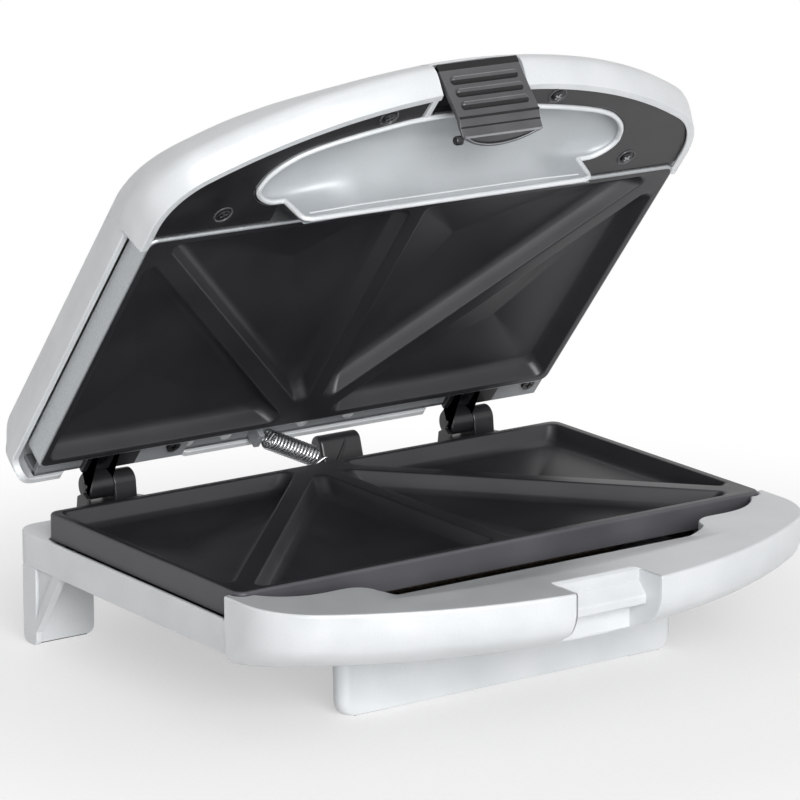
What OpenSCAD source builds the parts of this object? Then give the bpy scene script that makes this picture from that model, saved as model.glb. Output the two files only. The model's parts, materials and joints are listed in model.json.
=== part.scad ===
// Two-slice sandwich toaster with a hinged lid, shown part open.
// Millimetres. +Z is up, -Y is the front with the latch, and the origin is on the
// floor under the middle of the open toaster.

/* [Hotplates] */
// Width of each hotplate
plate_w = 220; // [190:1:250]
// Depth of each hotplate, front to back
plate_d = 121; // [105:1:140]
// Height of the lower hotplate's rim above the floor
rim_z = 50; // [46:0.5:60]
// Gap between the two rims when the lid is shut
rim_gap = 1; // [0.6:0.1:3]
// Height of the plain wall round each hotplate
skirt_h = 9.5; // [7:0.5:10]
// Thickness of the cast hotplates
cast_t = 2.4; // [2:0.1:3]
// Half width of the flat lands and ridges round the pockets
land = 2.8; // [2:0.1:5]
// Depth of the steep wall of a pocket
pocket_wall_h = 6.5; // [4:0.5:8]
// Depth of a pocket at its deepest point
pocket_depth = 10.5; // [9:0.5:11]
// How far a pocket's steep wall leans in
pocket_draft = 3; // [1:0.5:6]
// Radius of the hotplates' own corners
plate_corner_r = 4; // [2:0.5:8]

/* [Casing] */
// Gap between a hotplate and the casing beside it
plate_fit = 0.6; // [0.3:0.1:1.5]
// Thickness of the casing walls
wall = 2.4; // [2:0.1:3]
// Reach of the round front past the hotplates
bow_reach = 61.5; // [55:0.5:70]
// Radius of the wide front curve
front_r = 185; // [170:1:240]
// Radius of the two front corners
corner_r = 30; // [24:1:36]
// How far the round front starts ahead of the hotplates' front edge
bow_start = 3.5; // [2:0.5:6]
// Drop from the lower rim to the top of the round front
bow_drop = 1; // [0.5:0.5:3]
// Height of the round front
bow_h = 25; // [20:1:28]
// Height of the side rails
rail_h = 12; // [10:0.5:14]
// How far the rails sit in from the round front
rail_step = 0.8; // [0:0.1:2]
// Distance from the hotplates' back edge to the back of the base
base_back = 19.5; // [18:0.5:26]
// Distance from the hotplates' back edge to the back of the lid
lid_back = 14.5; // [13:0.5:16]
// Radius of the two back corners
back_r = 9; // [5:0.5:14]
// Height of the lid above its rim
lid_h = 31.8; // [28:0.2:38]
// Height of the lid's lower edge at the sides, above its front rim
lid_side_lift = 9.5; // [6:0.5:11]
// Height of the lid's lower edge at the back, above its front rim
lid_back_lift = 4; // [3:0.5:6]

/* [Front] */
// Half width of the trough behind the round front
trough_half_w = 68; // [60:1:76]
// Depth of the trough from the front of the hotplates
trough_reach = 20.5; // [17:0.5:24]
// Depth of the trough below the round front's top
trough_depth = 12.5; // [11.5:0.5:14]
// Half width of the lid's drop tray
tray_half_w = 74.5; // [68:0.5:80]
// Reach of the drop tray's curved edge past the hotplates
tray_reach = 45.5; // [40:0.5:50]
// Drop of the tray's back wall below the lid rim
tray_drop = 10.5; // [6:0.5:11]
// Width of the latch
latch_w = 33; // [26:0.5:40]
// Gap each side of the latch
latch_fit = 0.7; // [0.4:0.1:1.5]
// Thickness of the latch
latch_t = 2.2; // [1.8:0.1:3]

/* [Hinge] */
// Distance from the hotplates' back edge to the hinge line
hinge_back = 16.5; // [15:0.5:20]
// Height of the hinge line above the lower rim
hinge_rise = 1; // [0:0.5:3]
// Radius of the hinge knuckles
knuckle_r = 4.7; // [4:0.1:5.5]
// Radius of the hinge pins
pin_r = 2; // [1.5:0.1:2.5]
// Running clearance of a pin in a turning knuckle, on the radius
pin_fit = 0.06; // [0.02:0.01:0.1]
// Gap between knuckles
knuckle_gap = 0.4; // [0.3:0.1:0.8]
// How far the lid stands open
open_angle = 51; // [20:1:90]
// Joint face of the left hinge, from the hotplates' left end
left_hinge_inset = 36.8; // [26:0.2:50]
// Joint face of the right hinge, from the hotplates' right end
right_hinge_inset = 27; // [22:0.2:40]

/* [Feet] */
// Height of the rubber pads
pad_h = 1; // [0.6:0.1:2]
// Width of a back leg
leg_w = 26; // [20:1:34]
// Length of a back leg's side wall at the floor
leg_side = 8; // [6:0.5:14]
// Half width of the front foot
foot_half_w = 70.5; // [55:0.5:85]
// Depth of the front foot, front to back
foot_d = 8; // [6:0.5:12]

/* [Inside] */
// Diameter of the heating tubes
heater_d = 4.2; // [3.6:0.2:5]
// Thickness of the heat shields
shield_t = 0.6; // [0.5:0.1:1]
// Thickness of the bottom cover
cover_t = 2; // [1.8:0.1:2.4]
// Air gap between stacked pieces inside
seat_gap = 0.3; // [0.2:0.05:0.5]
// Bore of the cord bush
cord_bore_d = 5.8; // [4:0.1:6]

/* [Wire guard spring] */
// Outer diameter of the coil
coil_d = 6.5; // [5:0.1:7]
// Diameter of the wire
coil_wire_d = 0.9; // [0.7:0.05:1]
// Number of turns
coil_turns = 15; // [10:1:16]

/* [Hidden] */
$fn = 48;
eps = 0.01;

// Main faces and places.
half_w = plate_w / 2;
half_d = plate_d / 2;
case_half_w = half_w + plate_fit + wall;
left_hinge_x = left_hinge_inset - half_w;
right_hinge_x = half_w - right_hinge_inset;
rail_half_w = case_half_w - rail_step;
bow_front_y = -half_d - bow_reach;
bow_back_y = -half_d + bow_start;
base_back_y = half_d + base_back;
lid_back_y = half_d + lid_back;
hinge_y = half_d + hinge_back;
hinge_z = rim_z + hinge_rise;
bow_top_z = rim_z - bow_drop;
bow_bottom_z = bow_top_z - bow_h;
rail_top_z = rim_z - skirt_h;
rail_bottom_z = rail_top_z - rail_h;
lid_rim_z = rim_z + rim_gap;
lid_side_z = lid_rim_z + lid_side_lift;
lid_back_z = lid_rim_z + lid_back_lift;
cover_z = rail_bottom_z;
cover_top_z = cover_z + cover_t;
plate_low_z = rim_z - pocket_depth - cast_t;
heater_z = plate_low_z - seat_gap - heater_d / 2;
shield_z = heater_z - heater_d / 2 - seat_gap - shield_t;

// Each row of the lid's crown: height share, inset, front set-back, back set-back.
crown_rows = [
    [0.283, 0, 0, 0],
    [0.459, 0, 4.5, 0],
    [0.597, 0.3, 11.7, 2.5],
    [0.739, 1.2, 20.8, 7],
    [0.865, 3.5, 33.5, 15],
    [0.943, 9, 47, 30],
    [1, 22, 58, 50]
];

// The origin lies under the middle of the toaster as it stands open.
lid_back_reach = hinge_y + max([for (row = crown_rows)
    (lid_back_y - row[3] - hinge_y) * cos(open_angle)
    + (lid_rim_z + row[0] * lid_h - hinge_z) * sin(open_angle)]);
notch_edge_y = bow_front_y + front_r - sqrt(pow(front_r, 2) - pow(latch_w / 2 + latch_fit, 2));
origin_y = (notch_edge_y + lid_back_reach) / 2;

// Plan of the casing: two corner circles roll inside one wide front circle.
front_cy = bow_front_y + front_r;
corner_cx = case_half_w - corner_r;
corner_cy = front_cy - sqrt(pow(front_r - corner_r, 2) - pow(corner_cx, 2));

front_steps = 24;
corner_steps = 8;
back_steps = 4;
touch_angle = atan2(corner_cx, front_cy - corner_cy);

function arc(c, r, from, to, steps, first) =
    [for (i = [first : steps]) let (a = from + (to - from) * i / steps) c + r * [cos(a), sin(a)]];
function plan_points(inset, shift, back_y) =
    // The plan drawn in by inset, with its front moved back by shift.
    let (
        hw = case_half_w - inset,
        r = max(back_r - inset, 1),
        cr = corner_r - inset,
        cy = corner_cy + shift,
        plan = concat(
            arc([0, front_cy + shift], front_r - inset, 270 - touch_angle, 270 + touch_angle,
                front_steps, 0),
            arc([corner_cx, cy], cr, 270 + touch_angle, 360, corner_steps, 1),
            arc([hw - r, back_y - r], r, 0, 90, back_steps, 0),
            arc([r - hw, back_y - r], r, 90, 180, back_steps, 0),
            arc([-corner_cx, cy], cr, 180, 270 - touch_angle, corner_steps, 0)
        )
    )
    [for (i = [0 : len(plan) - 2]) plan[i]];
function ring(z, inset, shift, back_y) =
    [for (p = plan_points(inset, shift, back_y)) [p[0], p[1], z]];

module outline(inset, shift, back_y) {
    polygon(plan_points(inset, shift, back_y));
}

module loft(rings) {
    // A solid through closed rings of equally many points, lowest first.
    n = len(rings[0]);
    m = len(rings);
    polyhedron(
        points = [for (r = rings) each r],
        faces = concat(
            [[for (k = [0 : n - 1]) k]],
            [[for (k = [0 : n - 1]) m * n - 1 - k]],
            [for (i = [0 : m - 2], k = [0 : n - 1])
                let (a = i * n + k, b = i * n + (k + 1) % n)
                each [[a, a + n, b + n], [a, b + n, b]]]
        )
    );
}

module x_bar(x0, x1, points) {
    // A bar along X with an outline given as [y, z] points.
    translate([x0, 0, 0]) rotate([90, 0, 90]) linear_extrude(x1 - x0) polygon(points);
}

module x_cyl(x0, x1, y, z, r) {
    translate([x0, y, z]) rotate([0, 90, 0]) cylinder(r = r, h = x1 - x0);
}

module box(low, high) {
    translate(low) cube(high - low);
}

module on_base() {
    // Moves what is drawn round the hotplates' middle to the origin.
    translate([0, -origin_y, 0]) children();
}

module on_lid() {
    // Swings what is drawn for a shut lid up to where the lid stands.
    on_base() translate([0, hinge_y, hinge_z])
        rotate([-open_angle, 0, 0])
            translate([0, -hinge_y, -hinge_z]) children();
}

// Hotplates: four three-sided pockets meet at the middle of the back edge.
back_left = [-half_w, half_d];
back_mid = [0, half_d];
front_left = [-half_w, -half_d];
front_mid = [0, -half_d];
outer_triangle = [back_left, back_mid, front_left];
inner_triangle = [front_left, back_mid, front_mid];

function side_len(t, i) = norm(t[(i + 1) % 3] - t[(i + 2) % 3]);
function girth(t) = side_len(t, 0) + side_len(t, 1) + side_len(t, 2);
function incentre(t) =
    (t[0] * side_len(t, 0) + t[1] * side_len(t, 1) + t[2] * side_len(t, 2)) / girth(t);
function inradius(t) = abs(cross(t[1] - t[0], t[2] - t[0])) / girth(t);
function drawn_in(t, d) = [for (v = t) v + (incentre(t) - v) * d / inradius(t)];
function raised(t, z) = [for (v = t) [v[0], v[1], z]];

module pocket_form(t, inset, top, grow) {
    // The form of a pocket, grow thicker than the hollow itself.
    rim = raised(drawn_in(t, inset), top);
    waist = raised(drawn_in(t, inset + pocket_draft), -pocket_wall_h - grow);
    tip = [incentre(t)[0], incentre(t)[1], -pocket_depth - grow];
    polyhedron(
        points = concat(rim, waist, [tip]),
        faces = [
            [0, 1, 2],
            [0, 4, 1], [0, 3, 4], [1, 5, 2], [1, 4, 5], [2, 3, 0], [2, 5, 3],
            [3, 6, 4], [4, 6, 5], [5, 6, 3]
        ]
    );
}

module all_pockets(inset, top, grow) {
    for (side = [0, 1]) mirror([side, 0, 0]) {
        pocket_form(outer_triangle, inset, top, grow);
        pocket_form(inner_triangle, inset, top, grow);
    }
}

module rounded_plate(w, d, r, h) {
    translate([-w / 2 + r, -d / 2, 0]) cube([w - 2 * r, d, h]);
    translate([-w / 2, -d / 2 + r, 0]) cube([w, d - 2 * r, h]);
    for (x = [-1, 1], y = [-1, 1])
        translate([x * (w / 2 - r), y * (d / 2 - r), 0]) cylinder(r = r, h = h);
}

// Screw posts stand under the ridges, where the casting is clear of the pockets.
post_r = 3.6;
post_screw_r = 1.25;
ridge_share = 0.5;
post_places = [
    [0, -half_d * 0.55],
    [0, half_d * 0.12],
    [half_w * ridge_share, half_d - plate_d * ridge_share],
    [-half_w * ridge_share, half_d - plate_d * ridge_share]
];
post_low = -pocket_depth - cast_t;

module casting() {
    // One hotplate with its rim at height 0 and its pockets below.
    difference() {
        union() {
            translate([0, 0, -cast_t]) rounded_plate(plate_w, plate_d, plate_corner_r, cast_t);
            translate([0, 0, -skirt_h]) difference() {
                rounded_plate(plate_w, plate_d, plate_corner_r, skirt_h);
                translate([0, 0, -1])
                    rounded_plate(plate_w - 2 * cast_t, plate_d - 2 * cast_t,
                        plate_corner_r - cast_t / 2, skirt_h + 2);
            }
            all_pockets(land - cast_t, -cast_t / 2, cast_t);
            for (p = post_places)
                translate([p[0], p[1], post_low]) cylinder(r = post_r, h = -post_low - cast_t / 2);
        }
        all_pockets(land, eps, 0);
        for (p = post_places)
            translate([p[0], p[1], post_low - 1]) cylinder(r = post_screw_r, h = 9);
    }
}

module screw(head_r, head_h, shank_r, shank_l) {
    // A screw pointing up from its head at height 0.
    difference() {
        cylinder(r = head_r, h = head_h);
        for (a = [0, 90]) rotate([0, 0, a])
            translate([-head_r * 0.6, -head_r * 0.14, -eps])
                cube([head_r * 1.2, head_r * 0.28, head_h * 0.5]);
    }
    translate([0, 0, head_h - eps]) cylinder(r = shank_r, h = shank_l);
}

// Base casing.
plate_hole_w = plate_w + 2 * plate_fit;
plate_hole_d = plate_d + 2 * plate_fit;
trough_front_y = -half_d - trough_reach;
shoulder_r = 24;
shoulder_x = case_half_w - shoulder_r - 5;
nose_r = 8;
dip_r = 16;
dip_front_y = trough_front_y - dip_r;
dip_drop = 2.5;

module trough_plan() {
    // Straight at the front, round a nose at each side, then out along each shoulder.
    y_mid = -half_d - 11.5;
    back = -half_d + 1;
    shoulder_cy = y_mid + shoulder_r;
    right = concat(
        [[trough_half_w, trough_front_y]],
        arc([trough_half_w + nose_r, y_mid - nose_r], nose_r, 180, 90, corner_steps, 0),
        arc([shoulder_x, shoulder_cy], shoulder_r, 270, 360 - asin((shoulder_cy - back) / shoulder_r),
            corner_steps, 0)
    );
    n = len(right);
    polygon(concat(right, [for (i = [1 : n]) [-right[n - i][0], right[n - i][1]]]));
}

module dip_plan() {
    translate([-trough_half_w + dip_r, dip_front_y])
        square([2 * (trough_half_w - dip_r), dip_r + 2]);
    for (side = [-1, 1]) intersection() {
        translate([side * (trough_half_w - dip_r), trough_front_y]) circle(r = dip_r);
        translate([-case_half_w, dip_front_y]) square([2 * case_half_w, dip_r + 2]);
    }
}

// Each row of the round front's side: drop share, inset, set-back of the front.
bow_rows = [[1, 1, 29], [0.88, 0.7, 17], [0.72, 0.3, 8], [0.52, 0, 2], [0.28, 0, 0], [0, 0, 0]];

module bow_form(inset) {
    // The round front: upright at the top, drawn under like a boat's bow below.
    back = bow_back_y - (inset > 0 ? wall : 0);
    intersection() {
        loft([for (row = bow_rows)
            ring(bow_top_z - row[0] * bow_h - (inset > 0 ? wall - row[0] : 0),
                inset + row[1], row[2], half_d)]);
        box([-case_half_w, bow_front_y, bow_bottom_z - wall], [case_half_w, back, bow_top_z]);
    }
}

// Latch and its keeper.
latch_half_w = latch_w / 2;
notch_half_w = latch_half_w + latch_fit;
keeper_back_y = bow_front_y + 12.5;
keeper_lip_y = bow_front_y + 7.9;
keeper_top_z = bow_top_z - 4;
keeper_lip_z = bow_top_z - 8.5;
keeper_low_z = bow_top_z - 11.6;
notch_back_y = bow_front_y + 18;

module keeper_block(grow) {
    x_bar(-notch_half_w - grow, notch_half_w + grow, [
        [notch_back_y + grow, bow_top_z - eps], [bow_front_y - 1, bow_top_z - eps],
        [bow_front_y - 1, bow_bottom_z - 1], [notch_back_y + grow, bow_bottom_z - 1]
    ]);
}

module notch_cut() {
    // Clear space for the latch, leaving the sloped keeper between its two parts.
    x_bar(-notch_half_w, notch_half_w, [
        [keeper_back_y, bow_top_z + 1], [bow_front_y - 2, bow_top_z + 1],
        [bow_front_y - 2, keeper_low_z], [keeper_lip_y, keeper_low_z],
        [keeper_lip_y, keeper_lip_z], [keeper_back_y, keeper_top_z]
    ]);
    x_bar(-notch_half_w, notch_half_w, [
        [notch_back_y, keeper_low_z], [bow_front_y - 2, keeper_low_z],
        [bow_front_y - 2, bow_bottom_z - 2], [notch_back_y, bow_bottom_z - 2]
    ]);
}

leg_wall = 3;
leg_low_z = pad_h;
leg_front_y = base_back_y - back_r + 1 - leg_side;
web_reach = 22;

module rear_leg() {
    // Left back leg: a side wall, a back wall and a three-sided web.
    x0 = -rail_half_w;
    leg_back_y = base_back_y - back_r + 1;
    box([x0, leg_front_y, leg_low_z], [x0 + wall, leg_back_y, rail_bottom_z + 1]);
    box([x0, leg_back_y - leg_wall, leg_low_z],
        [x0 + leg_w, leg_back_y, rail_bottom_z - seat_gap]);
    x_bar(x0, x0 + wall, [
        [leg_front_y - web_reach * 0.55, rail_bottom_z + 1],
        [leg_front_y + eps, rail_bottom_z + 1],
        [leg_front_y + eps, rail_bottom_z - web_reach * 0.85]
    ]);
}

rear_deck_front_y = half_d + plate_fit;
inner_boss_r = 3.2;
cover_screw_places = [
    [-rail_half_w + leg_w + 8, half_d + 8], [rail_half_w - leg_w - 8, half_d + 8],
    [-rail_half_w + 22, -half_d - 14], [rail_half_w - 22, -half_d - 14]
];
cord_x = 23;
cord_z = rail_bottom_z + rail_h / 2;
bush_r = 4.9;
bush_body_r = 3.7;

module base_housing() {
    color("silver") on_base() difference() {
        union() {
            // Round front, hollow from below.
            difference() {
                bow_form(0);
                bow_form(wall);
            }
            intersection() {
                bow_form(0);
                union() {
                    keeper_block(wall);
                    translate([0, 0, bow_top_z - trough_depth - wall])
                        linear_extrude(trough_depth + wall - eps) trough_rim();
                }
            }
            // Side rails, back wall and back deck.
            difference() {
                translate([0, 0, rail_bottom_z]) linear_extrude(rail_h)
                    rail_plan(0);
                translate([0, 0, rail_bottom_z - 1]) linear_extrude(rail_h + 1 - wall)
                    rail_plan(wall);
            }
            for (side = [0, 1]) mirror([side, 0, 0]) rear_leg();
            for (p = cover_screw_places)
                translate([p[0], p[1], cover_top_z + seat_gap])
                    cylinder(r = inner_boss_r,
                        h = (p[1] > 0 ? rail_top_z : bow_top_z) - wall / 2 - cover_top_z - seat_gap);
        }
        // Hole for the hotplate, the trough ahead of it, the shallow dip and the latch notch.
        translate([0, 0, rail_bottom_z - 1]) rounded_opening(rim_z);
        translate([0, 0, bow_top_z - trough_depth])
            linear_extrude(trough_depth + 1) trough_plan();
        intersection() {
            translate([0, 0, bow_top_z - 6]) linear_extrude(8) dip_plan();
            x_bar(-case_half_w, case_half_w, [
                [dip_front_y, bow_top_z + 1], [dip_front_y, bow_top_z],
                [trough_front_y, bow_top_z - dip_drop], [trough_front_y + 3, bow_top_z - dip_drop],
                [trough_front_y + 3, bow_top_z + 1]
            ]);
        }
        notch_cut();
        // Slot for the front foot.
        box([-foot_half_w - seat_gap, foot_front_y - seat_gap, bow_bottom_z - 1],
            [foot_half_w + seat_gap, foot_back_y + seat_gap, cover_z + seat_gap]);
        // Screw bores and the cord hole.
        for (p = cover_screw_places)
            translate([p[0], p[1], cover_top_z]) cylinder(r = post_screw_r, h = 7);
        translate([cord_x, base_back_y + 1, cord_z]) rotate([90, 0, 0])
            cylinder(r = bush_body_r + 0.05, h = wall + 3);
        for (x = [left_hinge_x, right_hinge_x], u = hinge_screw_us)
            translate([x + u, hinge_foot_y, rail_top_z - wall - 1])
                cylinder(r = hinge_screw_r + 0.1, h = wall + 2);
    }
}

module rail_plan(inset) {
    hw = rail_half_w - inset;
    back = base_back_y - inset;
    r = back_r - inset;
    front = bow_back_y - 2 * wall - inset;
    translate([-hw, front]) square([2 * hw, back - r - front]);
    translate([-hw + r, front]) square([2 * (hw - r), back - front]);
    for (side = [-1, 1]) translate([side * (hw - r), back - r]) circle(r = r);
}

module rounded_opening(h) {
    rounded_plate(plate_hole_w, plate_hole_d, plate_corner_r + plate_fit, h);
}

module trough_rim() {
    // Walls and floor round the trough.
    difference() {
        translate([-shoulder_x - shoulder_r, trough_front_y - wall])
            square([2 * (shoulder_x + shoulder_r), trough_reach + wall]);
        for (side = [-1, 1])
            translate([side * (case_half_w + trough_half_w + nose_r + wall) / 2
                - (case_half_w - trough_half_w - nose_r - wall) / 2, trough_front_y - wall - eps])
                square([case_half_w - trough_half_w - nose_r - wall, 7]);
    }
}

cover_set_back = 31;

module base_bottom_cover() {
    color("dimgray") on_base() translate([0, 0, cover_z]) difference() {
        linear_extrude(cover_t) difference() {
            intersection() {
                outline(wall + 1.6, cover_set_back, base_back_y - wall - seat_gap);
                square([2 * (rail_half_w - wall - seat_gap), 2 * case_half_w + plate_d], center = true);
            }
            for (p = cover_screw_places) translate(p) circle(r = 1.7);
            for (p = post_places) translate(p) circle(r = 1.7);
        }
        translate([0, 0, -eps]) foot_screw_holes(1.6, cover_t + 1);
    }
}

// Front foot and pads.
foot_back_y = -half_d + 6.5;
foot_front_y = foot_back_y - foot_d;
foot_r = 4;

module foot_screw_holes(r, h) {
    for (side = [-1, 1])
        translate([side * foot_half_w * 0.45, (foot_front_y + foot_back_y) / 2, 0])
            cylinder(r = r, h = h);
}

module front_foot() {
    h = cover_z - pad_h;
    color("silver") on_base() difference() {
        translate([0, foot_back_y, pad_h]) rotate([90, 0, 0]) linear_extrude(foot_d) {
            translate([-foot_half_w, foot_r]) square([2 * foot_half_w, h - foot_r]);
            translate([-foot_half_w + foot_r, 0])
                square([2 * (foot_half_w - foot_r), foot_r + eps]);
            for (side = [-1, 1])
                translate([side * (foot_half_w - foot_r), foot_r]) circle(r = foot_r);
        }
        translate([0, 0, cover_z - 12]) foot_screw_holes(post_screw_r, 20);
    }
}

module rubber_feet() {
    x0 = rail_half_w - leg_w + 3;
    leg_back_y = base_back_y - back_r + 1;
    color("black") on_base() for (side = [0, 1]) mirror([side, 0, 0]) {
        box([x0, leg_back_y - leg_wall, 0], [rail_half_w - 3, leg_back_y, pad_h]);
        box([foot_half_w - foot_r - 16, foot_front_y + 1, 0],
            [foot_half_w - foot_r - 2, foot_back_y - 1, pad_h]);
    }
}

module lower_hotplate() {
    color("dimgray") on_base() translate([0, 0, rim_z]) casting();
}

// Heating tube: a rounded loop, open at the back, with two cold ends.
heater_half_w = half_w * 0.62;
heater_front_y = -half_d * 0.72;
heater_back_y = half_d * 0.72;
heater_bend = 14;
heater_gap = 16;

module tube_x(x0, x1, y) {
    x_cyl(x0, x1, y, 0, heater_d / 2);
}

module tube_y(x, y0, y1) {
    translate([x, y0, 0]) rotate([-90, 0, 0]) cylinder(r = heater_d / 2, h = y1 - y0);
}

module tube_bend(x, y, turn) {
    translate([x, y, 0]) rotate([0, 0, turn])
        rotate_extrude(angle = 90) translate([heater_bend, 0]) circle(r = heater_d / 2);
}

module heater_loop() {
    b = heater_bend;
    tube_x(-heater_half_w + b, heater_half_w - b, heater_front_y);
    for (side = [0, 1]) mirror([side, 0, 0]) {
        tube_y(heater_half_w, heater_front_y + b, heater_back_y - b);
        tube_bend(heater_half_w - b, heater_front_y + b, -90);
        tube_bend(heater_half_w - b, heater_back_y - b, 0);
        tube_x(heater_gap, heater_half_w - b, heater_back_y);
        translate([heater_gap - 7, 0, 0]) x_cyl(0, 7 + eps, heater_back_y, 0, heater_d * 0.28);
    }
}

module heat_shield() {
    // Pressed sheet with a low rim, its floor at height 0.
    w = plate_w * 0.84;
    d = plate_d * 0.82;
    difference() {
        union() {
            translate([-w / 2, -d / 2, 0]) cube([w, d, shield_t]);
            for (side = [-1, 1]) {
                translate([side * (w / 2 - shield_t / 2) - shield_t / 2, -d / 2, 0])
                    cube([shield_t, d, heater_d * 0.7]);
                translate([-w / 2, side * (d / 2 - shield_t / 2) - shield_t / 2, 0])
                    cube([w, shield_t, heater_d * 0.7]);
            }
        }
        for (p = post_places)
            translate([p[0], p[1], -1]) cylinder(r = post_r + 0.4, h = 3);
    }
}

module lower_heater() {
    color("gray") on_base() translate([0, 0, heater_z]) heater_loop();
}

module lower_heat_shield() {
    color("lightgray") on_base() translate([0, 0, shield_z]) heat_shield();
}

plate_screw_l = plate_low_z + 5 - cover_z;

module lower_plate_screws() {
    // Each runs up through the bottom cover and a spacer into a hotplate post.
    color("lightgray") on_base() for (p = post_places) {
        translate([p[0], p[1], cover_z - 1.2]) screw(2.8, 1.2, post_screw_r, plate_screw_l);
        translate([p[0], p[1], cover_top_z]) difference() {
            cylinder(r = post_r, h = plate_low_z - cover_top_z);
            translate([0, 0, -1]) cylinder(r = post_screw_r, h = 20);
        }
    }
}

module bottom_cover_screws() {
    color("lightgray") on_base() for (p = cover_screw_places)
        translate([p[0], p[1], cover_z - 1.2]) screw(2.8, 1.2, post_screw_r, cover_t + 6);
}

module front_foot_screws() {
    color("lightgray") on_base() for (side = [-1, 1])
        translate([side * foot_half_w * 0.45, (foot_front_y + foot_back_y) / 2,
            cover_top_z + 1.2]) rotate([180, 0, 0]) screw(2.6, 1.2, post_screw_r, cover_t + 9);
}

// Wiring space behind the hotplate.
block_x = -34;
block_len = 24;
bay_front_y = rear_deck_front_y + 2;
bay_back_y = base_back_y - wall - 2;

module terminal_block() {
    color("ivory") on_base() difference() {
        box([block_x, bay_front_y + 1, cover_top_z],
            [block_x + block_len, bay_back_y - 2, rail_top_z - wall - 1]);
        for (i = [0 : 2])
            translate([block_x + 4 + i * 8, (bay_front_y + bay_back_y) / 2 - 0.5,
                rail_top_z - wall - 4]) cylinder(r = 1.8, h = 5);
    }
}

module cord_bush() {
    // Flanged bush in the back wall that the mains cord passes through.
    color("black") on_base() translate([cord_x, base_back_y, cord_z]) rotate([90, 0, 0]) difference() {
        union() {
            translate([0, 0, -1.6]) cylinder(r = bush_r, h = 1.6);
            translate([0, 0, -1]) cylinder(r = bush_body_r, h = wall + 2.5);
            intersection() {
                translate([0, 0, wall]) cylinder(r = bush_r, h = 1.5);
                translate([-bush_r, 1 - bush_body_r, wall])
                    cube([2 * bush_r, 2 * bush_body_r - 2, 2]);
            }
        }
        translate([0, 0, -3]) cylinder(d = cord_bore_d, h = wall + 8);
    }
}

module cord_clamp() {
    color("ivory") on_base() difference() {
        box([cord_x - 9, bay_back_y - 7.5, cover_top_z], [cord_x + 9, bay_back_y - 2.5, cord_z - 1]);
        translate([cord_x, bay_back_y + 1, cord_z]) rotate([90, 0, 0]) cylinder(d = cord_bore_d, h = 15);
    }
}

// Hinges. The local u runs along X from the joint face of each hinge.
ear_u0 = -16;
ear_t = 2;
lid_knuckle_u0 = ear_u0 + ear_t + knuckle_gap;
lid_knuckle_u1 = -knuckle_gap / 2;
base_knuckle_u0 = knuckle_gap / 2;
base_knuckle_u1 = 9.6;
cheek_u0 = base_knuckle_u1 + knuckle_gap;
cheek_u1 = 15.2;
lid_foot_u1 = 29;
hinge_foot_y = hinge_y - 4;
hinge_foot_t = 2.2;
hinge_screw_r = 1.4;
hinge_screw_us = [-9, 13.5];
foot_u0 = ear_u0 - 2;
foot_u1 = 17.5;

module base_web(u0, u1) {
    // Upright web from the foot to a round knuckle on the hinge line.
    x_bar(u0, u1, [
        [hinge_y - knuckle_r, hinge_z], [hinge_y + knuckle_r, hinge_z],
        [hinge_y + knuckle_r * 0.75, rail_top_z + eps], [hinge_y - knuckle_r * 1.25, rail_top_z + eps]
    ]);
    x_cyl(u0, u1, hinge_y, hinge_z, knuckle_r);
}

module base_hinge(x) {
    translate([x, 0, 0]) difference() {
        union() {
            base_web(ear_u0, ear_u0 + ear_t);
            base_web(base_knuckle_u0, base_knuckle_u1);
            // Flared buttress on the outer side, low enough for the lid's knuckle to pass.
            translate([0, hinge_y + 1.5, 0]) rotate([90, 0, 0]) linear_extrude(3) polygon([
                [base_knuckle_u1 - 1, rail_top_z + 1], [foot_u1, rail_top_z + 1],
                [foot_u1, rail_top_z + hinge_foot_t + 0.5],
                [base_knuckle_u1 + 1, hinge_z - knuckle_r - 1],
                [base_knuckle_u1 - 1, hinge_z - knuckle_r - 1]
            ]);
            box([foot_u0, hinge_y - knuckle_r * 1.9, rail_top_z + eps],
                [foot_u1, base_back_y - 1, rail_top_z + hinge_foot_t]);
        }
        x_cyl(ear_u0 - 1, base_knuckle_u1 + 1, hinge_y, hinge_z, pin_r);
        for (u = hinge_screw_us)
            translate([u, hinge_foot_y, rail_top_z - 1]) cylinder(r = hinge_screw_r + 0.1, h = 6);
    }
}

module left_base_hinge() {
    color("dimgray") on_base() base_hinge(left_hinge_x);
}

module right_base_hinge() {
    color("dimgray") on_base() base_hinge(right_hinge_x);
}

module hinge_pin(x) {
    x_cyl(x + ear_u0 - 0.8, x + cheek_u1 + 0.5, hinge_y, hinge_z, pin_r);
}

module left_hinge_pin() {
    color("gainsboro") on_base() hinge_pin(left_hinge_x);
}

module right_hinge_pin() {
    color("gainsboro") on_base() hinge_pin(right_hinge_x);
}

module base_hinge_screws() {
    color("lightgray") on_base() for (x = [left_hinge_x, right_hinge_x], u = hinge_screw_us)
        translate([x + u, hinge_foot_y, rail_top_z + hinge_foot_t + 1.1])
            rotate([180, 0, 0]) screw(2.5, 1.1, hinge_screw_r, wall + hinge_foot_t - 0.4);
}

// Cover over the wires where they leave the base, round about the hinge line.
guard_r = 3.6;
guard_x0 = 13.5;
guard_x1 = 35;

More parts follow.
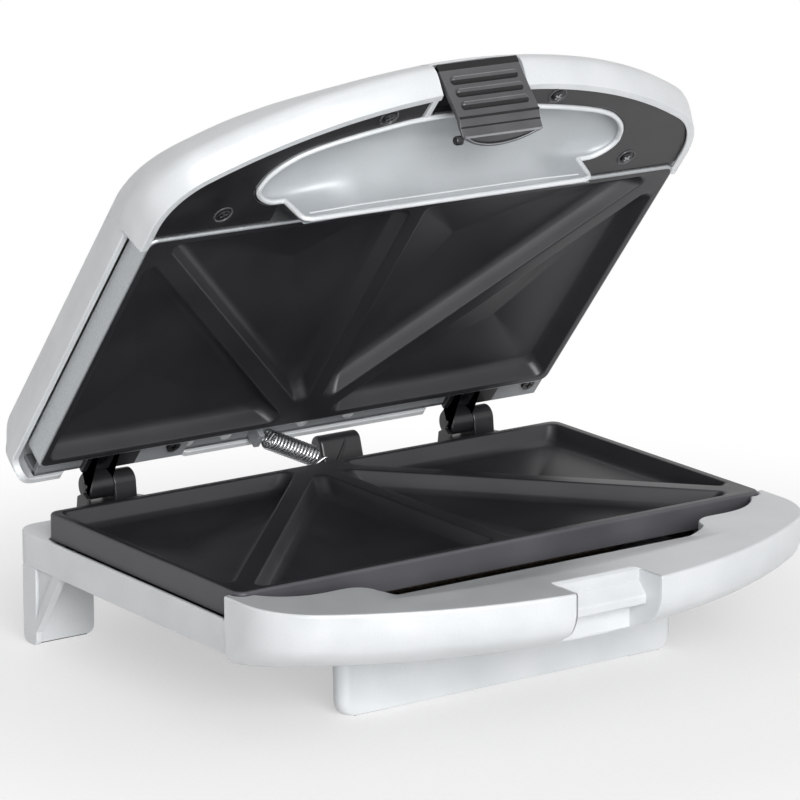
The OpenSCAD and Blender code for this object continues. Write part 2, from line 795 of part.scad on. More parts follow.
module wiring_cover() {
    color("dimgray") on_base() difference() {
        union() {
            x_cyl(guard_x0, guard_x1 - 5, hinge_y, hinge_z, guard_r);
            x_bar(guard_x0, guard_x1 - 3, [
                [hinge_y - guard_r, hinge_z], [hinge_y + guard_r, hinge_z],
                [hinge_y + guard_r - 0.4, rail_top_z + eps], [hinge_y - guard_r - 3.5, rail_top_z + eps]
            ]);
            box([guard_x0, hinge_y - guard_r - 4.5, rail_top_z + eps],
                [guard_x1, hinge_y + guard_r - 0.4, rail_top_z + 2.5]);
        }
        x_bar(guard_x0 + 1.8, guard_x1 - 6, [
            [hinge_y - guard_r + 1.4, hinge_z], [hinge_y + guard_r - 1.4, hinge_z],
            [hinge_y + guard_r - 1.8, rail_top_z - 1], [hinge_y - guard_r - 2, rail_top_z - 1]
        ]);
    }
}

// Wire guard spring: one helical tube from the lid's frame to the wiring cover.
function lid_point(p) = [
    p[0],
    hinge_y + (p[1] - hinge_y) * cos(open_angle) + (p[2] - hinge_z) * sin(open_angle),
    hinge_z - (p[1] - hinge_y) * sin(open_angle) + (p[2] - hinge_z) * cos(open_angle)
];
frame_z = lid_rim_z + 5;
lug_x = -10;
lug_y = half_d + 6.3;
lug_z = frame_z - coil_d / 2;
lug_t = 2.5;
coil_r = (coil_d - coil_wire_d) / 2;
coil_top = lid_point([lug_x, lug_y, lug_z]);
coil_end = [guard_x0, hinge_y - 4.2, hinge_z - 4];
coil_axis = coil_end - coil_top;
coil_len = norm(coil_axis);
coil_dir = coil_axis / coil_len;
coil_side = cross(coil_dir, [0, 0, 1]) / norm(cross(coil_dir, [0, 0, 1]));
coil_up = cross(coil_side, coil_dir);
rings_per_turn = 8;
tube_sides = 6;
coil_steps = coil_turns * rings_per_turn;
coil_margin = coil_d * 0.5;

function coil_point(i) =
    let (
        turn = 360 * i / rings_per_turn,
        along = coil_margin + (coil_len - 2 * coil_margin) * i / coil_steps
    )
    coil_top + coil_dir * along + coil_side * (coil_r * cos(turn)) + coil_up * (coil_r * sin(turn));
lug_face = coil_point(0) * [[0, 0, 0], [0, 1, 0], [0, 0, 1]] + [lug_x + seat_gap, 0, 0];
guard_face = coil_point(coil_steps) * [[0, 0, 0], [0, 1, 0], [0, 0, 1]]
    + [guard_x0 - seat_gap, 0, 0];
function coil_path() = concat(
    [lug_face, lug_face + [coil_wire_d, 0, 0]],
    [for (i = [1 : coil_steps - 1]) coil_point(i)],
    [guard_face - [coil_wire_d, 0, 0], guard_face]
);
function unit(v) = v / norm(v);
function ring_at(path, i) =
    let (
        last = len(path) - 1,
        ahead = unit(path[min(i + 1, last)] - path[max(i - 1, 0)]),
        heading = (i < 2 || i > last - 2) ? [1, 0, 0] : ahead,
        out = unit(path[i] - coil_top - coil_dir * ((path[i] - coil_top) * coil_dir)),
        across = unit(cross(heading, out)),
        outward = cross(across, heading)
    )
    [for (k = [0 : tube_sides - 1]) path[i]
        + outward * (coil_wire_d / 2 * cos(60 * k)) + across * (coil_wire_d / 2 * sin(60 * k))];

module wire_guard_spring() {
    path = coil_path();
    n = len(path);
    points = [for (i = [0 : n - 1]) each ring_at(path, i)];
    sides = [for (i = [0 : n - 2], k = [0 : tube_sides - 1])
        let (a = i * tube_sides + k, b = i * tube_sides + (k + 1) % tube_sides)
        each [[a, b, a + tube_sides], [b, b + tube_sides, a + tube_sides]]];
    last = (n - 1) * tube_sides;
    caps = [for (k = [1 : tube_sides - 2]) each
        [[0, k + 1, k], [last, last + k, last + k + 1]]];
    pitch = (coil_len - 2 * coil_margin) / coil_turns;
    gaps = [for (i = [0 : coil_steps], j = [i + 5 : coil_steps])
        norm(coil_point(i) - coil_point(j)) - coil_wire_d];
    echo(coil_pitch = pitch, least_gap_of_the_coil_to_itself = min(gaps));
    color("silver") on_base() polyhedron(points = points, faces = concat(sides, caps));
}

// Lid casing, drawn shut.
module lid_form(inset, low_z) {
    h = lid_h - inset;
    back = lid_back_y - inset;
    loft(concat(
        [ring(low_z, inset + 1.2, 2.2, back)],
        [for (row = crown_rows)
            ring(lid_rim_z + row[0] * h, inset + row[1], row[2], back - row[3])]
    ));
}

lamp_y = -half_d * 0.75;
lamp_x = 11;
lens_r = 4;
hinge_notch_z = hinge_z + 7;
lid_boss_r = 3.4;
liner_screw_places = [[case_half_w - 29, -half_d - 8], [34.7, -half_d - 48]];

module lid_cover() {
    color("silver") on_lid() difference() {
        union() {
            difference() {
                lid_form(0, lid_rim_z);
                lid_form(wall, lid_rim_z - 1);
            }
            // Well round the latch, with cheeks for its pin.
            intersection() {
                lid_form(0, lid_rim_z);
                box([-notch_half_w - well_t, bow_front_y, liner_top_z + seat_gap],
                    [notch_half_w + well_t, latch_well_y + well_t, latch_head_z + well_t]);
            }
            // Bosses for the liner's screws.
            intersection() {
                lid_form(wall / 2, lid_rim_z);
                for (side = [-1, 1], p = liner_screw_places)
                    translate([side * p[0], p[1], liner_top_z + seat_gap])
                        cylinder(r = lid_boss_r, h = 30);
            }
        }
        // Room for the hotplate.
        translate([0, 0, lid_rim_z - 1]) rounded_opening(lid_side_lift + 3);
        // Raised lower edge at the sides and the back.
        box([-case_half_w - 1, -half_d + bow_start, lid_rim_z - 2],
            [case_half_w + 1, lid_back_y - wall - 1, lid_side_z]);
        box([-case_half_w - 1, lid_back_y - wall - 2, lid_rim_z - 2],
            [case_half_w + 1, lid_back_y + 1, lid_back_z]);
        for (x = [left_hinge_x, right_hinge_x])
            box([x + ear_u0 - 2, lid_back_y - wall - 2, lid_rim_z - 2],
                [x + lid_foot_u1 + 1, lid_back_y + 1, hinge_notch_z]);
        // Latch notch in the front.
        box([-notch_half_w, bow_front_y - 1, lid_rim_z - 1],
            [notch_half_w, latch_well_y, latch_head_z]);
        x_cyl(-notch_half_w - well_t - 1, notch_half_w + well_t + 1, latch_pivot_y,
            latch_pivot_z, latch_pin_r + 0.02);
        for (side = [-1, 1], p = liner_screw_places)
            translate([side * p[0], p[1], liner_top_z]) cylinder(r = post_screw_r, h = 9);
        for (side = [-1, 1])
            translate([side * lamp_x, lamp_y, lid_rim_z + 20]) cylinder(r = lens_r + 0.2, h = 30);
    }
}

liner_z = lid_rim_z + 1;
liner_t = 2;
liner_top_z = liner_z + liner_t;
liner_fit = 0.4;
latch_well_y = bow_front_y + 14;
well_t = 1.8;

module tray_plan(inset) {
    // Two round lobes joined by a wide shallow arc.
    lobe_r = 12;
    lobe_x = tray_half_w - lobe_r;
    lobe_y = -half_d - 11 - lobe_r;
    tip_y = -half_d - tray_reach;
    sag = lobe_y - lobe_r - tip_y;
    arc_r = (pow(lobe_x, 2) + pow(sag, 2)) / (2 * sag);
    for (side = [-1, 1]) translate([side * lobe_x, lobe_y]) circle(r = lobe_r - inset);
    intersection() {
        translate([0, tip_y + arc_r]) circle(r = arc_r - inset, $fn = 152);
        translate([-lobe_x, tip_y]) square([2 * lobe_x, lobe_y + lobe_r - inset - tip_y]);
    }
}

module lid_liner() {
    color([0.16, 0.17, 0.18]) on_lid() difference() {
        translate([0, 0, liner_z]) linear_extrude(liner_t) difference() {
            intersection() {
                outline(wall + 2 + liner_fit, 1, 0);
                translate([-case_half_w, bow_front_y])
                    square([2 * case_half_w, bow_reach - plate_fit]);
            }
            offset_tray();
            translate([-notch_half_w, bow_front_y])
                square([2 * notch_half_w, latch_well_y - bow_front_y]);
        }
        for (side = [-1, 1], p = liner_screw_places)
            translate([side * p[0], p[1], liner_z - 1]) cylinder(r = 1.7, h = 5);
        for (side = [-1, 1], p = liner_screw_places)
            translate([side * p[0], p[1], liner_z - 1]) cylinder(r = 3.2, h = 1.9);
    }
}

module offset_tray() {
    tray_plan(-liner_fit);
    wall_half = tray_wall_half_w + liner_fit;
    translate([-wall_half, tray_back_y - 2])
        square([2 * wall_half, -half_d - plate_fit - tray_back_y + 4]);
}

tray_t = 2;
tray_h = 8;
tray_back_y = -half_d - 13;
tray_wall_half_w = 61.5;

module drop_tray() {
    // Silver tray under the lid's front whose back wall drops into the base's trough.
    color("silver") on_lid() {
        difference() {
            translate([0, 0, lid_rim_z]) linear_extrude(tray_h) tray_plan(0);
            translate([0, 0, lid_rim_z - 1]) linear_extrude(tray_h + 1 - tray_t) tray_plan(tray_t);
            box([-notch_half_w, bow_front_y, lid_rim_z - 1],
                [notch_half_w, latch_well_y, lid_rim_z + tray_h + 1]);
        }
        x_bar(-tray_wall_half_w, tray_wall_half_w, [
            [tray_back_y, lid_rim_z - tray_drop], [tray_back_y + tray_t, lid_rim_z - tray_drop],
            [tray_back_y + tray_t, lid_rim_z + tray_h], [tray_back_y, lid_rim_z + tray_h]
        ]);
    }
}

module liner_screws() {
    color("gray") on_lid() for (side = [-1, 1], p = liner_screw_places)
        translate([side * p[0], p[1], liner_z - 0.6])
            screw(3, 1.5, post_screw_r, liner_t + 6);
}

frame_t = 2.2;
frame_front_y = half_d + plate_fit;
frame_back_y = lid_back_y - wall - seat_gap;
frame_half_w = case_half_w - wall - 6;
bump_xs = [-43, -27, 6, 26];

module lid_rear_frame() {
    // Strip behind the upper hotplate that carries the lid's hinges.
    color("darkgray") on_lid() difference() {
        union() {
            box([-frame_half_w, frame_front_y, frame_z],
                [frame_half_w, frame_back_y, frame_z + frame_t]);
            box([-frame_half_w, frame_back_y - 2, frame_z],
                [frame_half_w, frame_back_y, lid_rim_z + skirt_h + 4]);
            for (x = bump_xs)
                translate([x, (frame_front_y + frame_back_y) / 2, frame_z - 0.6])
                    cylinder(r = 1.8, h = 1);
            // Lug that the wire guard spring ends on.
            box([lug_x - lug_t, lug_y - 3, lug_z - 2], [lug_x, lug_y + 3, frame_z + eps]);
        }
        for (x = [left_hinge_x, right_hinge_x], u = lid_screw_us)
            translate([x + u, lid_screw_y, frame_z - 1]) cylinder(r = post_screw_r, h = 5);
    }
}

lid_screw_us = [-8, 22];
lid_screw_y = half_d + 4;
lid_foot_t = 2;
lid_foot_y0 = frame_front_y + 1;
lid_foot_y1 = frame_back_y;

module lid_hinge(x) {
    translate([x, 0, 0]) difference() {
        union() {
            box([lid_knuckle_u0, lid_foot_y0, frame_z - lid_foot_t], [lid_foot_u1, lid_foot_y1, frame_z]);
            for (span = [[lid_knuckle_u0, lid_knuckle_u1], [cheek_u0, cheek_u1]]) {
                x_cyl(span[0], span[1], hinge_y, hinge_z, knuckle_r);
                x_bar(span[0], span[1], [
                    [lid_foot_y1 - 5, frame_z - lid_foot_t],
                    [hinge_y - knuckle_r * 0.9, hinge_z - knuckle_r * 0.4],
                    [hinge_y, hinge_z], [hinge_y + knuckle_r * 0.35, hinge_z + knuckle_r * 0.93],
                    [lid_foot_y1, frame_z + eps]
                ]);
            }
        }
        x_cyl(lid_knuckle_u0 - 1, cheek_u1 + 1, hinge_y, hinge_z, pin_r + pin_fit);
        for (u = lid_screw_us)
            translate([u, lid_screw_y, frame_z - lid_foot_t - 1]) cylinder(r = 1.5, h = 5);
        // Room for the base knuckle between the two lid knuckles.
        x_cyl(lid_knuckle_u1, cheek_u0, hinge_y, hinge_z, knuckle_r + 0.6);
    }
}

module left_lid_hinge() {
    color("dimgray") on_lid() lid_hinge(left_hinge_x);
}

module right_lid_hinge() {
    color("dimgray") on_lid() lid_hinge(right_hinge_x);
}

module lid_hinge_screws() {
    color("gray") on_lid() for (x = [left_hinge_x, right_hinge_x], u = lid_screw_us)
        translate([x + u, lid_screw_y, frame_z - lid_foot_t - 1.2])
            screw(2.6, 1.2, post_screw_r, lid_foot_t + frame_t);
}

upper_low_z = lid_rim_z + pocket_depth + cast_t;
upper_heater_z = upper_low_z + seat_gap + heater_d / 2;
upper_shield_z = upper_heater_z + heater_d / 2 + seat_gap + shield_t;

module upper_hotplate() {
    color("dimgray") on_lid() translate([0, 0, lid_rim_z]) mirror([0, 0, 1]) casting();
}

module upper_heater() {
    color("gray") on_lid() translate([0, 0, upper_heater_z]) heater_loop();
}

module upper_heat_shield() {
    color("lightgray") on_lid() translate([0, 0, upper_shield_z]) mirror([0, 0, 1]) heat_shield();
}

module upper_plate_screws() {
    head_z = upper_shield_z + 1.2;
    color("lightgray") on_lid() for (p = post_places) {
        translate([p[0], p[1], head_z]) rotate([180, 0, 0])
            screw(post_r + 1.2, 1.2, post_screw_r, head_z - upper_low_z + 4);
        translate([p[0], p[1], upper_low_z]) difference() {
            cylinder(r = post_r, h = upper_shield_z - upper_low_z);
            translate([0, 0, -1]) cylinder(r = post_screw_r, h = 20);
        }
    }
}

control_x = 36;
control_y = 8;
control_r = 7.5;
strap_l = 22;

module thermostat() {
    // Round control clipped to the upper heat shield by a cross strap.
    color("ivory") on_lid() translate([control_x, control_y, upper_shield_z]) {
        cylinder(r = control_r, h = 5);
        translate([-strap_l / 2, -3, 0]) cube([strap_l, 6, 0.8]);
    }
}

fuse_x = 40;
fuse_y = 10;
fuse_r = 1.9;
fuse_l = 12;
fuse_wire_l = 10;

module thermal_fuse() {
    // A small barrel with a wire at each end, lying on the heat shield.
    color("tan") on_lid() translate([-fuse_x, fuse_y, upper_shield_z + fuse_r]) {
        x_cyl(-fuse_l / 2, fuse_l / 2, 0, 0, fuse_r);
        x_cyl(-fuse_l / 2 - fuse_wire_l, -fuse_l / 2 + 0.1, 0, 0, 0.5);
        x_cyl(fuse_l / 2 - 0.1, fuse_l / 2 + fuse_wire_l, 0, 0, 0.5);
    }
}

lamp_board_z = upper_shield_z + 1.5;
lens_top_z = lid_rim_z + lid_h * 0.9;

module lamp_holder() {
    // Small carrier with the two indicator lamps.
    color("darkgreen") on_lid() {
        box([-lamp_x - 7, lamp_y - 5, upper_shield_z], [lamp_x + 7, lamp_y + 5, lamp_board_z]);
        for (side = [-1, 1])
            translate([side * lamp_x, lamp_y, lamp_board_z - eps]) cylinder(r = 1.6, h = 2.5);
    }
}

module lens(x) {
    translate([x, lamp_y, lamp_board_z + 2.8]) difference() {
        cylinder(r = lens_r, h = lens_top_z - lamp_board_z - 2.8);
        translate([0, 0, -1]) cylinder(r = lens_r - 1, h = lens_top_z - lamp_board_z - 2.8 - 0.4);
    }
}

module power_lens() {
    color("red") on_lid() lens(-lamp_x);
}

module ready_lens() {
    color("green") on_lid() lens(lamp_x);
}

// Latch, drawn as it hangs when the lid is shut.
latch_head_z = lid_rim_z + 12;
latch_pivot_y = bow_front_y + 4.4;
latch_pivot_z = lid_rim_z + 7.8;
latch_pin_r = 1.25;
latch_barrel_r = 3;
coil_sleeve_r = 1.95;
hook_top_z = keeper_low_z - 0.7;
hook_low_z = hook_top_z - 1.8;
hook_tip_y = keeper_back_y + 2;
rib_drops = [5.4, 10.4, 15.6];

function latch_face_y(z) = bow_front_y + 0.2 + (latch_head_z - 0.4 - z) * 0.2;

module latch_blade() {
    top = latch_head_z - 0.9;
    bend = hook_low_z + 3.8;
    x_bar(-latch_half_w, latch_half_w, [
        [latch_face_y(top), top], [latch_face_y(bend), bend],
        [latch_face_y(bend) + 1.6, hook_low_z], [latch_face_y(bend) + 1.6 + latch_t, hook_low_z],
        [latch_face_y(bend) + latch_t, bend], [latch_face_y(top) + latch_t, top]
    ]);
}

module latch() {
    hook_root_y = latch_face_y(hook_low_z + 3.8) + 1.6;
    hook_len = hook_tip_y - hook_root_y;
    hook_arc_r = (pow(latch_half_w, 2) + pow(hook_len, 2)) / (2 * hook_len);
    color([0.2, 0.21, 0.22]) on_lid() difference() {
        union() {
            latch_blade();
            x_cyl(-latch_half_w, latch_half_w, latch_pivot_y, latch_pivot_z, latch_barrel_r);
            // Crescent hook that slips under the keeper.
            translate([0, 0, hook_low_z]) linear_extrude(hook_top_z - hook_low_z) intersection() {
                translate([0, hook_tip_y - hook_arc_r]) circle(r = hook_arc_r, $fn = 90);
                translate([-latch_half_w, hook_root_y]) square([latch_w, hook_len + 1]);
            }
            // Three grip ribs.
            for (drop = rib_drops)
                x_cyl(-latch_half_w + 3.5, latch_half_w - 3.5,
                    latch_face_y(latch_head_z - drop) + 0.1, latch_head_z - drop, 0.8);
        }
        x_cyl(-latch_half_w - 1, latch_half_w + 1, latch_pivot_y, latch_pivot_z,
            latch_pin_r + pin_fit);
        box([-latch_half_w * 0.4, latch_pivot_y - 2.1, latch_pivot_z - 4],
            [latch_half_w * 0.4, latch_pivot_y + 6, latch_pivot_z + 3.2]);
    }
}

module latch_pin() {
    color("gainsboro") on_lid()
        x_cyl(-notch_half_w - 1.4, notch_half_w + 1.4, latch_pivot_y, latch_pivot_z, latch_pin_r);
}

module latch_spring() {
    // Close-wound return spring on the pin, drawn as the sleeve that its turns fill.
    color("silver") on_lid() difference() {
        x_cyl(-latch_half_w * 0.34, latch_half_w * 0.34, latch_pivot_y, latch_pivot_z, coil_sleeve_r);
        x_cyl(-latch_half_w, latch_half_w, latch_pivot_y, latch_pivot_z, latch_pin_r + 0.1);
    }
}

base_housing();
base_bottom_cover();
front_foot();
rubber_feet();
lower_hotplate();
lower_heater();
lower_heat_shield();
lower_plate_screws();
bottom_cover_screws();
front_foot_screws();
terminal_block();
cord_bush();
cord_clamp();
wiring_cover();
left_base_hinge();
right_base_hinge();
left_hinge_pin();
right_hinge_pin();
base_hinge_screws();
wire_guard_spring();
lid_cover();
lid_liner();
drop_tray();
liner_screws();
lid_rear_frame();
left_lid_hinge();
right_lid_hinge();
lid_hinge_screws();
upper_hotplate();
upper_heater();
upper_heat_shield();
upper_plate_screws();
thermostat();
thermal_fuse();
lamp_holder();
power_lens();
ready_lens();
latch();
latch_pin();
latch_spring();
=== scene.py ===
# %% [markdown]
# # A sandwich toaster, standing part open
# The construction model gives the fixed frame: every size, joint and mount. This lesson
# dresses it. Each shell is modelled again with rounded edges and real surfaces, in the same
# place, and each hidden or small part keeps its own solid and gets a better finish.

import json
import math

import bmesh
import bpy
from mathutils import Matrix, Vector
from mathutils.geometry import tessellate_polygon


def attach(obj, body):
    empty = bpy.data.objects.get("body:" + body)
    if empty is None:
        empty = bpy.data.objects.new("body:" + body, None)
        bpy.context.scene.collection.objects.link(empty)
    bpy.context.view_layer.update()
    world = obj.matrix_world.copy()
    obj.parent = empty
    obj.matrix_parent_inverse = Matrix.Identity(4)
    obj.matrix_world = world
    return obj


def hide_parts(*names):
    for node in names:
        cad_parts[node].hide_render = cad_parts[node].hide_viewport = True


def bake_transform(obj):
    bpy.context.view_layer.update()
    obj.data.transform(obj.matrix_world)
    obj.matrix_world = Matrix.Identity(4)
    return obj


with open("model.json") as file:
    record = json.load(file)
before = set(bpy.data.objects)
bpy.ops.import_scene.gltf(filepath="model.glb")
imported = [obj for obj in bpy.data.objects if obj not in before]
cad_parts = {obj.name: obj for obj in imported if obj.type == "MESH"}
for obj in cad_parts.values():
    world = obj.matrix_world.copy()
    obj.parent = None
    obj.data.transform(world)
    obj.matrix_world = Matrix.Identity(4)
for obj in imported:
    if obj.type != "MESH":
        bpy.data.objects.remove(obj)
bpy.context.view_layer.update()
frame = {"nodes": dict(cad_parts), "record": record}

# %% [markdown]
# ## Sizes
# The same millimetres as the construction model, written once. Pieces of the lid are drawn as
# if the lid were shut and then swung up about the hinge line, which is how they are made too.

# %% Sizes in millimetres
HALF_W, HALF_D = 110.0, 60.5
RIM_Z, LID_Z = 50.0, 51.0
WALL = 2.4
CASE_HALF = 113.0
FRONT_Y, FRONT_R = -122.0, 185.0
FRONT_MIDDLE_Y = FRONT_Y + FRONT_R
CORNER_R, BACK_R = 30.0, 9.0
CORNER_X = CASE_HALF - CORNER_R
CORNER_Y = FRONT_MIDDLE_Y - math.sqrt((FRONT_R - CORNER_R) ** 2 - CORNER_X**2)
TOUCH = math.atan2(CORNER_X, FRONT_MIDDLE_Y - CORNER_Y)
BOW_BACK_Y, BOW_TOP, BOW_LOW = -57.0, 49.0, 24.0
RAIL_TOP, RAIL_LOW = 40.5, 28.5
BASE_BACK_Y, LID_BACK_Y = 80.0, 75.0
LID_H = 31.8
HINGE_Y, HINGE_Z = 77.0, 51.0
FRAME_Z = 56.0
NOTCH_HALF = 17.2
OPEN = math.radians(51.0)

pivot = next(j for j in frame["record"]["behaviour"]["joints"] if j["name"] == "lid_hinge")
SHIFT_Y = HINGE_Y - pivot["pos_m"][1] * 1000
print("the toaster stands", round(-SHIFT_Y, 2), "mm behind the hotplates' middle")


def on_base(p):
    """Metres in the frame for a point of the base, given in mm from the hotplates' middle."""
    return Vector((p[0], p[1] - SHIFT_Y, p[2])) * 0.001


def on_lid(p):
    """The same for a point of the lid, drawn as if shut and swung open here."""
    dy, dz = p[1] - HINGE_Y, p[2] - HINGE_Z
    y = HINGE_Y + dy * math.cos(OPEN) + dz * math.sin(OPEN)
    return on_base((p[0], y, HINGE_Z - dy * math.sin(OPEN) + dz * math.cos(OPEN)))


# %% [markdown]
# ## Mesh helpers
# Every piece is gathered from grids of points: a section carried along a path, a stack of
# rings, or a flat outline given thickness. Corners are rounded as each solid goes in, because
# a moulded part has no sharp edge, and its small rounds are what catch the light.

# %% Helpers that make meshes
QUARTER = [math.pi / 8 * i for i in range(5)]


class Piece:
    """One mesh gathered from several simple solids, drawn in millimetres."""

    def __init__(self, name, place):
        self.name, self.place, self.bm = name, place, bmesh.new()

    def add(self, verts, faces, finish=0, round_by=0.0, steps=3, outward=True):
        part = bmesh.new()
        points = [part.verts.new(v) for v in verts]
        for face in faces:
            part.faces.new([points[i] for i in face])
        bmesh.ops.remove_doubles(part, verts=part.verts, dist=1e-4)
        if outward:
            bmesh.ops.recalc_face_normals(part, faces=part.faces)
        if round_by:
            bent = math.radians(30)
            edges = [e for e in part.edges if len(e.link_faces) == 2 and e.calc_face_angle(0) > bent]
            bmesh.ops.bevel(
                part, geom=edges, offset=round_by, offset_type="OFFSET", segments=steps,
                profile=0.5, affect="EDGES", clamp_overlap=True,
            )
        for face in part.faces:
            face.material_index = finish
            face.smooth = True
        mesh = bpy.data.meshes.new("part")
        part.to_mesh(mesh)
        part.free()
        self.bm.from_mesh(mesh)
        bpy.data.meshes.remove(mesh)

    def prism(self, outline, low, high, axis="x", **how):
        """A flat outline carried along one axis."""
        put = {
            "x": lambda u, v, w: (w, u, v),
            "y": lambda u, v, w: (u, w, v),
            "z": lambda u, v, w: (u, v, w),
        }[axis]
        n = len(outline)
        verts = [put(u, v, low) for u, v in outline] + [put(u, v, high) for u, v in outline]
        faces = [tuple(range(n)), tuple(range(2 * n - 1, n - 1, -1))]
        faces += [(i, i + n, (i + 1) % n + n, (i + 1) % n) for i in range(n)]
        self.add(verts, faces, **how)

    def block(self, x, y, z, **how):
        """A box between two values along each axis."""
        self.prism([(x[0], y[0]), (x[1], y[0]), (x[1], y[1]), (x[0], y[1])], *z, "z", **how)

    def grid(self, rows, closed=True, caps=False, **how):
        """Rows of points joined by four-sided faces; each row closes on itself if closed."""
        n, m = len(rows), len(rows[0])
        faces = []
        for i in range(n - 1):
            for j in range(m if closed else m - 1):
                a, b = i * m + j, i * m + (j + 1) % m
                faces.append((a, b, b + m, a + m))
        if caps:
            faces.append(tuple(range(m - 1, -1, -1)))
            faces.append(tuple((n - 1) * m + j for j in range(m)))
        self.add([p for row in rows for p in row], faces, **how)

    def turned(self, centre, axis, profile, sides=32, **how):
        """A profile of (along, radius) turned round an axis through the centre."""
        k = "xyz".index(axis)
        rows = []
        for along, r in profile:
            ring = []
            for a in (2 * math.pi * i / sides for i in range(sides)):
                p = list(centre)
                p[k] += along
                p[(k + 1) % 3] += r * math.cos(a)
                p[(k + 2) % 3] += r * math.sin(a)
                ring.append(tuple(p))
            rows.append(ring)
        self.grid(rows, caps=True, **how)

    def tube(self, path, r, sides=8, caps=True, **how):
        """A round bar along a path of points."""
        rows = []
        side = None
        for i, p in enumerate(path):
            ahead = (Vector(path[min(i + 1, len(path) - 1)]) - Vector(path[max(i - 1, 0)])).normalized()
            if side is None:
                side = ahead.cross(Vector((0.3, 0.2, 1))).normalized()
            side = (side - ahead * side.dot(ahead)).normalized()
            other = ahead.cross(side)
            turns = (2 * math.pi * k / sides for k in range(sides))
            rows.append([
                tuple(Vector(p) + side * (r * math.cos(a)) + other * (r * math.sin(a))) for a in turns
            ])
        self.grid(rows, caps=caps, **how)

    def link(self):
        """The gathered solids as one object, at their place in the frame."""
        for vert in self.bm.verts:
            vert.co = self.place(vert.co)
        mesh = bpy.data.meshes.new(self.name)
        self.bm.to_mesh(mesh)
        self.bm.free()
        obj = bpy.data.objects.new(self.name, mesh)
        bpy.context.scene.collection.objects.link(obj)
        return obj

    def done(self, finishes, body, replaces=()):
        """Link the piece, finish it, hang it on its body when one body is named, and hide what it replaces.
        """
        obj = self.link()
        obj.data.set_sharp_from_angle(angle=math.radians(50))
        for finish in finishes:
            obj.data.materials.append(finish)
        smooth = obj.modifiers.new("even shading on flat faces", "WEIGHTED_NORMAL")
        smooth.keep_sharp = True
        smooth.weight = 60
        if isinstance(body, str):
            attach(obj, body)
        else:
            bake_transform(obj)
        if replaces:
            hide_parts(*replaces)
        print(self.name, "has", len(obj.data.polygons), "faces")
        return obj


# %% [markdown]
# An outline is a list of points. These helpers bend, mirror, mix and space points, and read a
# smooth curve from a short table, so that a few measured rows hold a whole profile.

# %% Helpers for points and outlines
def arc(cx, cy, r, a0, a1, n, first=0):
    """Points on an arc, angles in degrees."""
    turns = [math.radians(a0 + (a1 - a0) * i / n) for i in range(first, n + 1)]
    return [(cx + r * math.cos(a), cy + r * math.sin(a)) for a in turns]


def between(a, b, t):
    """The point at share t of the way from a to b."""
    return tuple(p + (q - p) * t for p, q in zip(a, b))


def toward(a, b):
    """Direction and distance from a to b."""
    length = math.dist(a, b) or 1.0
    return ((b[0] - a[0]) / length, (b[1] - a[1]) / length), length


def stepped(p, u, d, *z):
    """The point d from p along the direction u, at height z where one is given."""
    return (p[0] + u[0] * d, p[1] + u[1] * d, *z)


def mirrored(points):
    """Points in reverse order on the other side of the middle."""
    return [(-p[0], *p[1:]) for p in reversed(points)]


def span(side, a, b):
    """Two distances from the middle as rising x values, on the left (-1) or the right (1)."""
    return sorted((side * a, side * b))


def round_ring(half_x, half_y, r, z, y=0.0):
    """A rectangle with round corners, at height z and centred on y."""
    across, along = half_x - r, half_y - r
    ring = []
    for i, (cx, cy) in enumerate(((across, along), (-across, along), (-across, -along), (across, -along))):
        ring += [(px, py + y, z) for px, py in arc(cx, cy, r, 90 * i, 90 * i + 90, 8)]
    return ring


def resample(points, shares):
    """Points at the given shares of a polyline's length."""
    lengths = [0.0]
    for a, b in zip(points, points[1:]):
        lengths.append(lengths[-1] + math.dist(a, b))
    out, k = [], 0
    for share in shares:
        want = share * lengths[-1]
        while k < len(points) - 2 and lengths[k + 1] < want:
            k += 1
        f = (want - lengths[k]) / ((lengths[k + 1] - lengths[k]) or 1.0)
        out.append(between(points[k], points[k + 1], min(max(f, 0.0), 1.0)))
    return out


def smooth_step(x, low, high):
    """0 below low, 1 above high, with a smooth rise between them."""
    t = min(max((x - low) / (high - low), 0.0), 1.0)
    return t * t * (3 - 2 * t)


def smooth_table(rows):
    """A function that reads rows of (x, value, value...) along a smooth curve."""
    rows = sorted(rows)
    last = len(rows) - 1

    def rise(i, c):
        i = min(max(i, 0), last - 1)
        return (rows[i + 1][c] - rows[i][c]) / (rows[i + 1][0] - rows[i][0])

    def slope(i, c):
        a, b = rise(i - 1, c), rise(i, c)
        if i in (0, last):
            return rise(i if i == 0 else i - 1, c)
        return 0.0 if a * b <= 0 else 2 * a * b / (a + b)

    def read(x):
        x = min(max(x, rows[0][0]), rows[-1][0])
        k = max(i for i in range(last) if rows[i][0] <= x)
        h = rows[k + 1][0] - rows[k][0]
        t = (x - rows[k][0]) / h
        return [
            (2 * t**3 - 3 * t**2 + 1) * rows[k][c] + (t**3 - 2 * t**2 + t) * slope(k, c) * h
            + (3 * t**2 - 2 * t**3) * rows[k + 1][c] + (t**3 - t**2) * slope(k + 1, c) * h
            for c in range(1, len(rows[0]))
        ]

    return read


# %% [markdown]
# ## Materials
# A material is a small graph of nodes. One function adds a node with its settings and links.
# Colours are written as sRGB hex, as in a paint programme, and turned to linear values once.

# %% Helpers that make materials
def linear(hex_colour):
    values = [int(hex_colour[i : i + 2], 16) / 255 for i in (1, 3, 5)]
    return tuple(v / 12.92 if v <= 0.04045 else ((v + 0.055) / 1.055) ** 2.4 for v in values) + (1.0,)


def add_node(tree, kind, settings=None, links=None, **attributes):
    node = tree.nodes.new(kind)
    for key, value in attributes.items():
        setattr(node, key, value)
    for key, value in (settings or {}).items():
        node.inputs[key].default_value = value
    for key, source in (links or {}).items():
        tree.links.new(source, node.inputs[key])
    return node


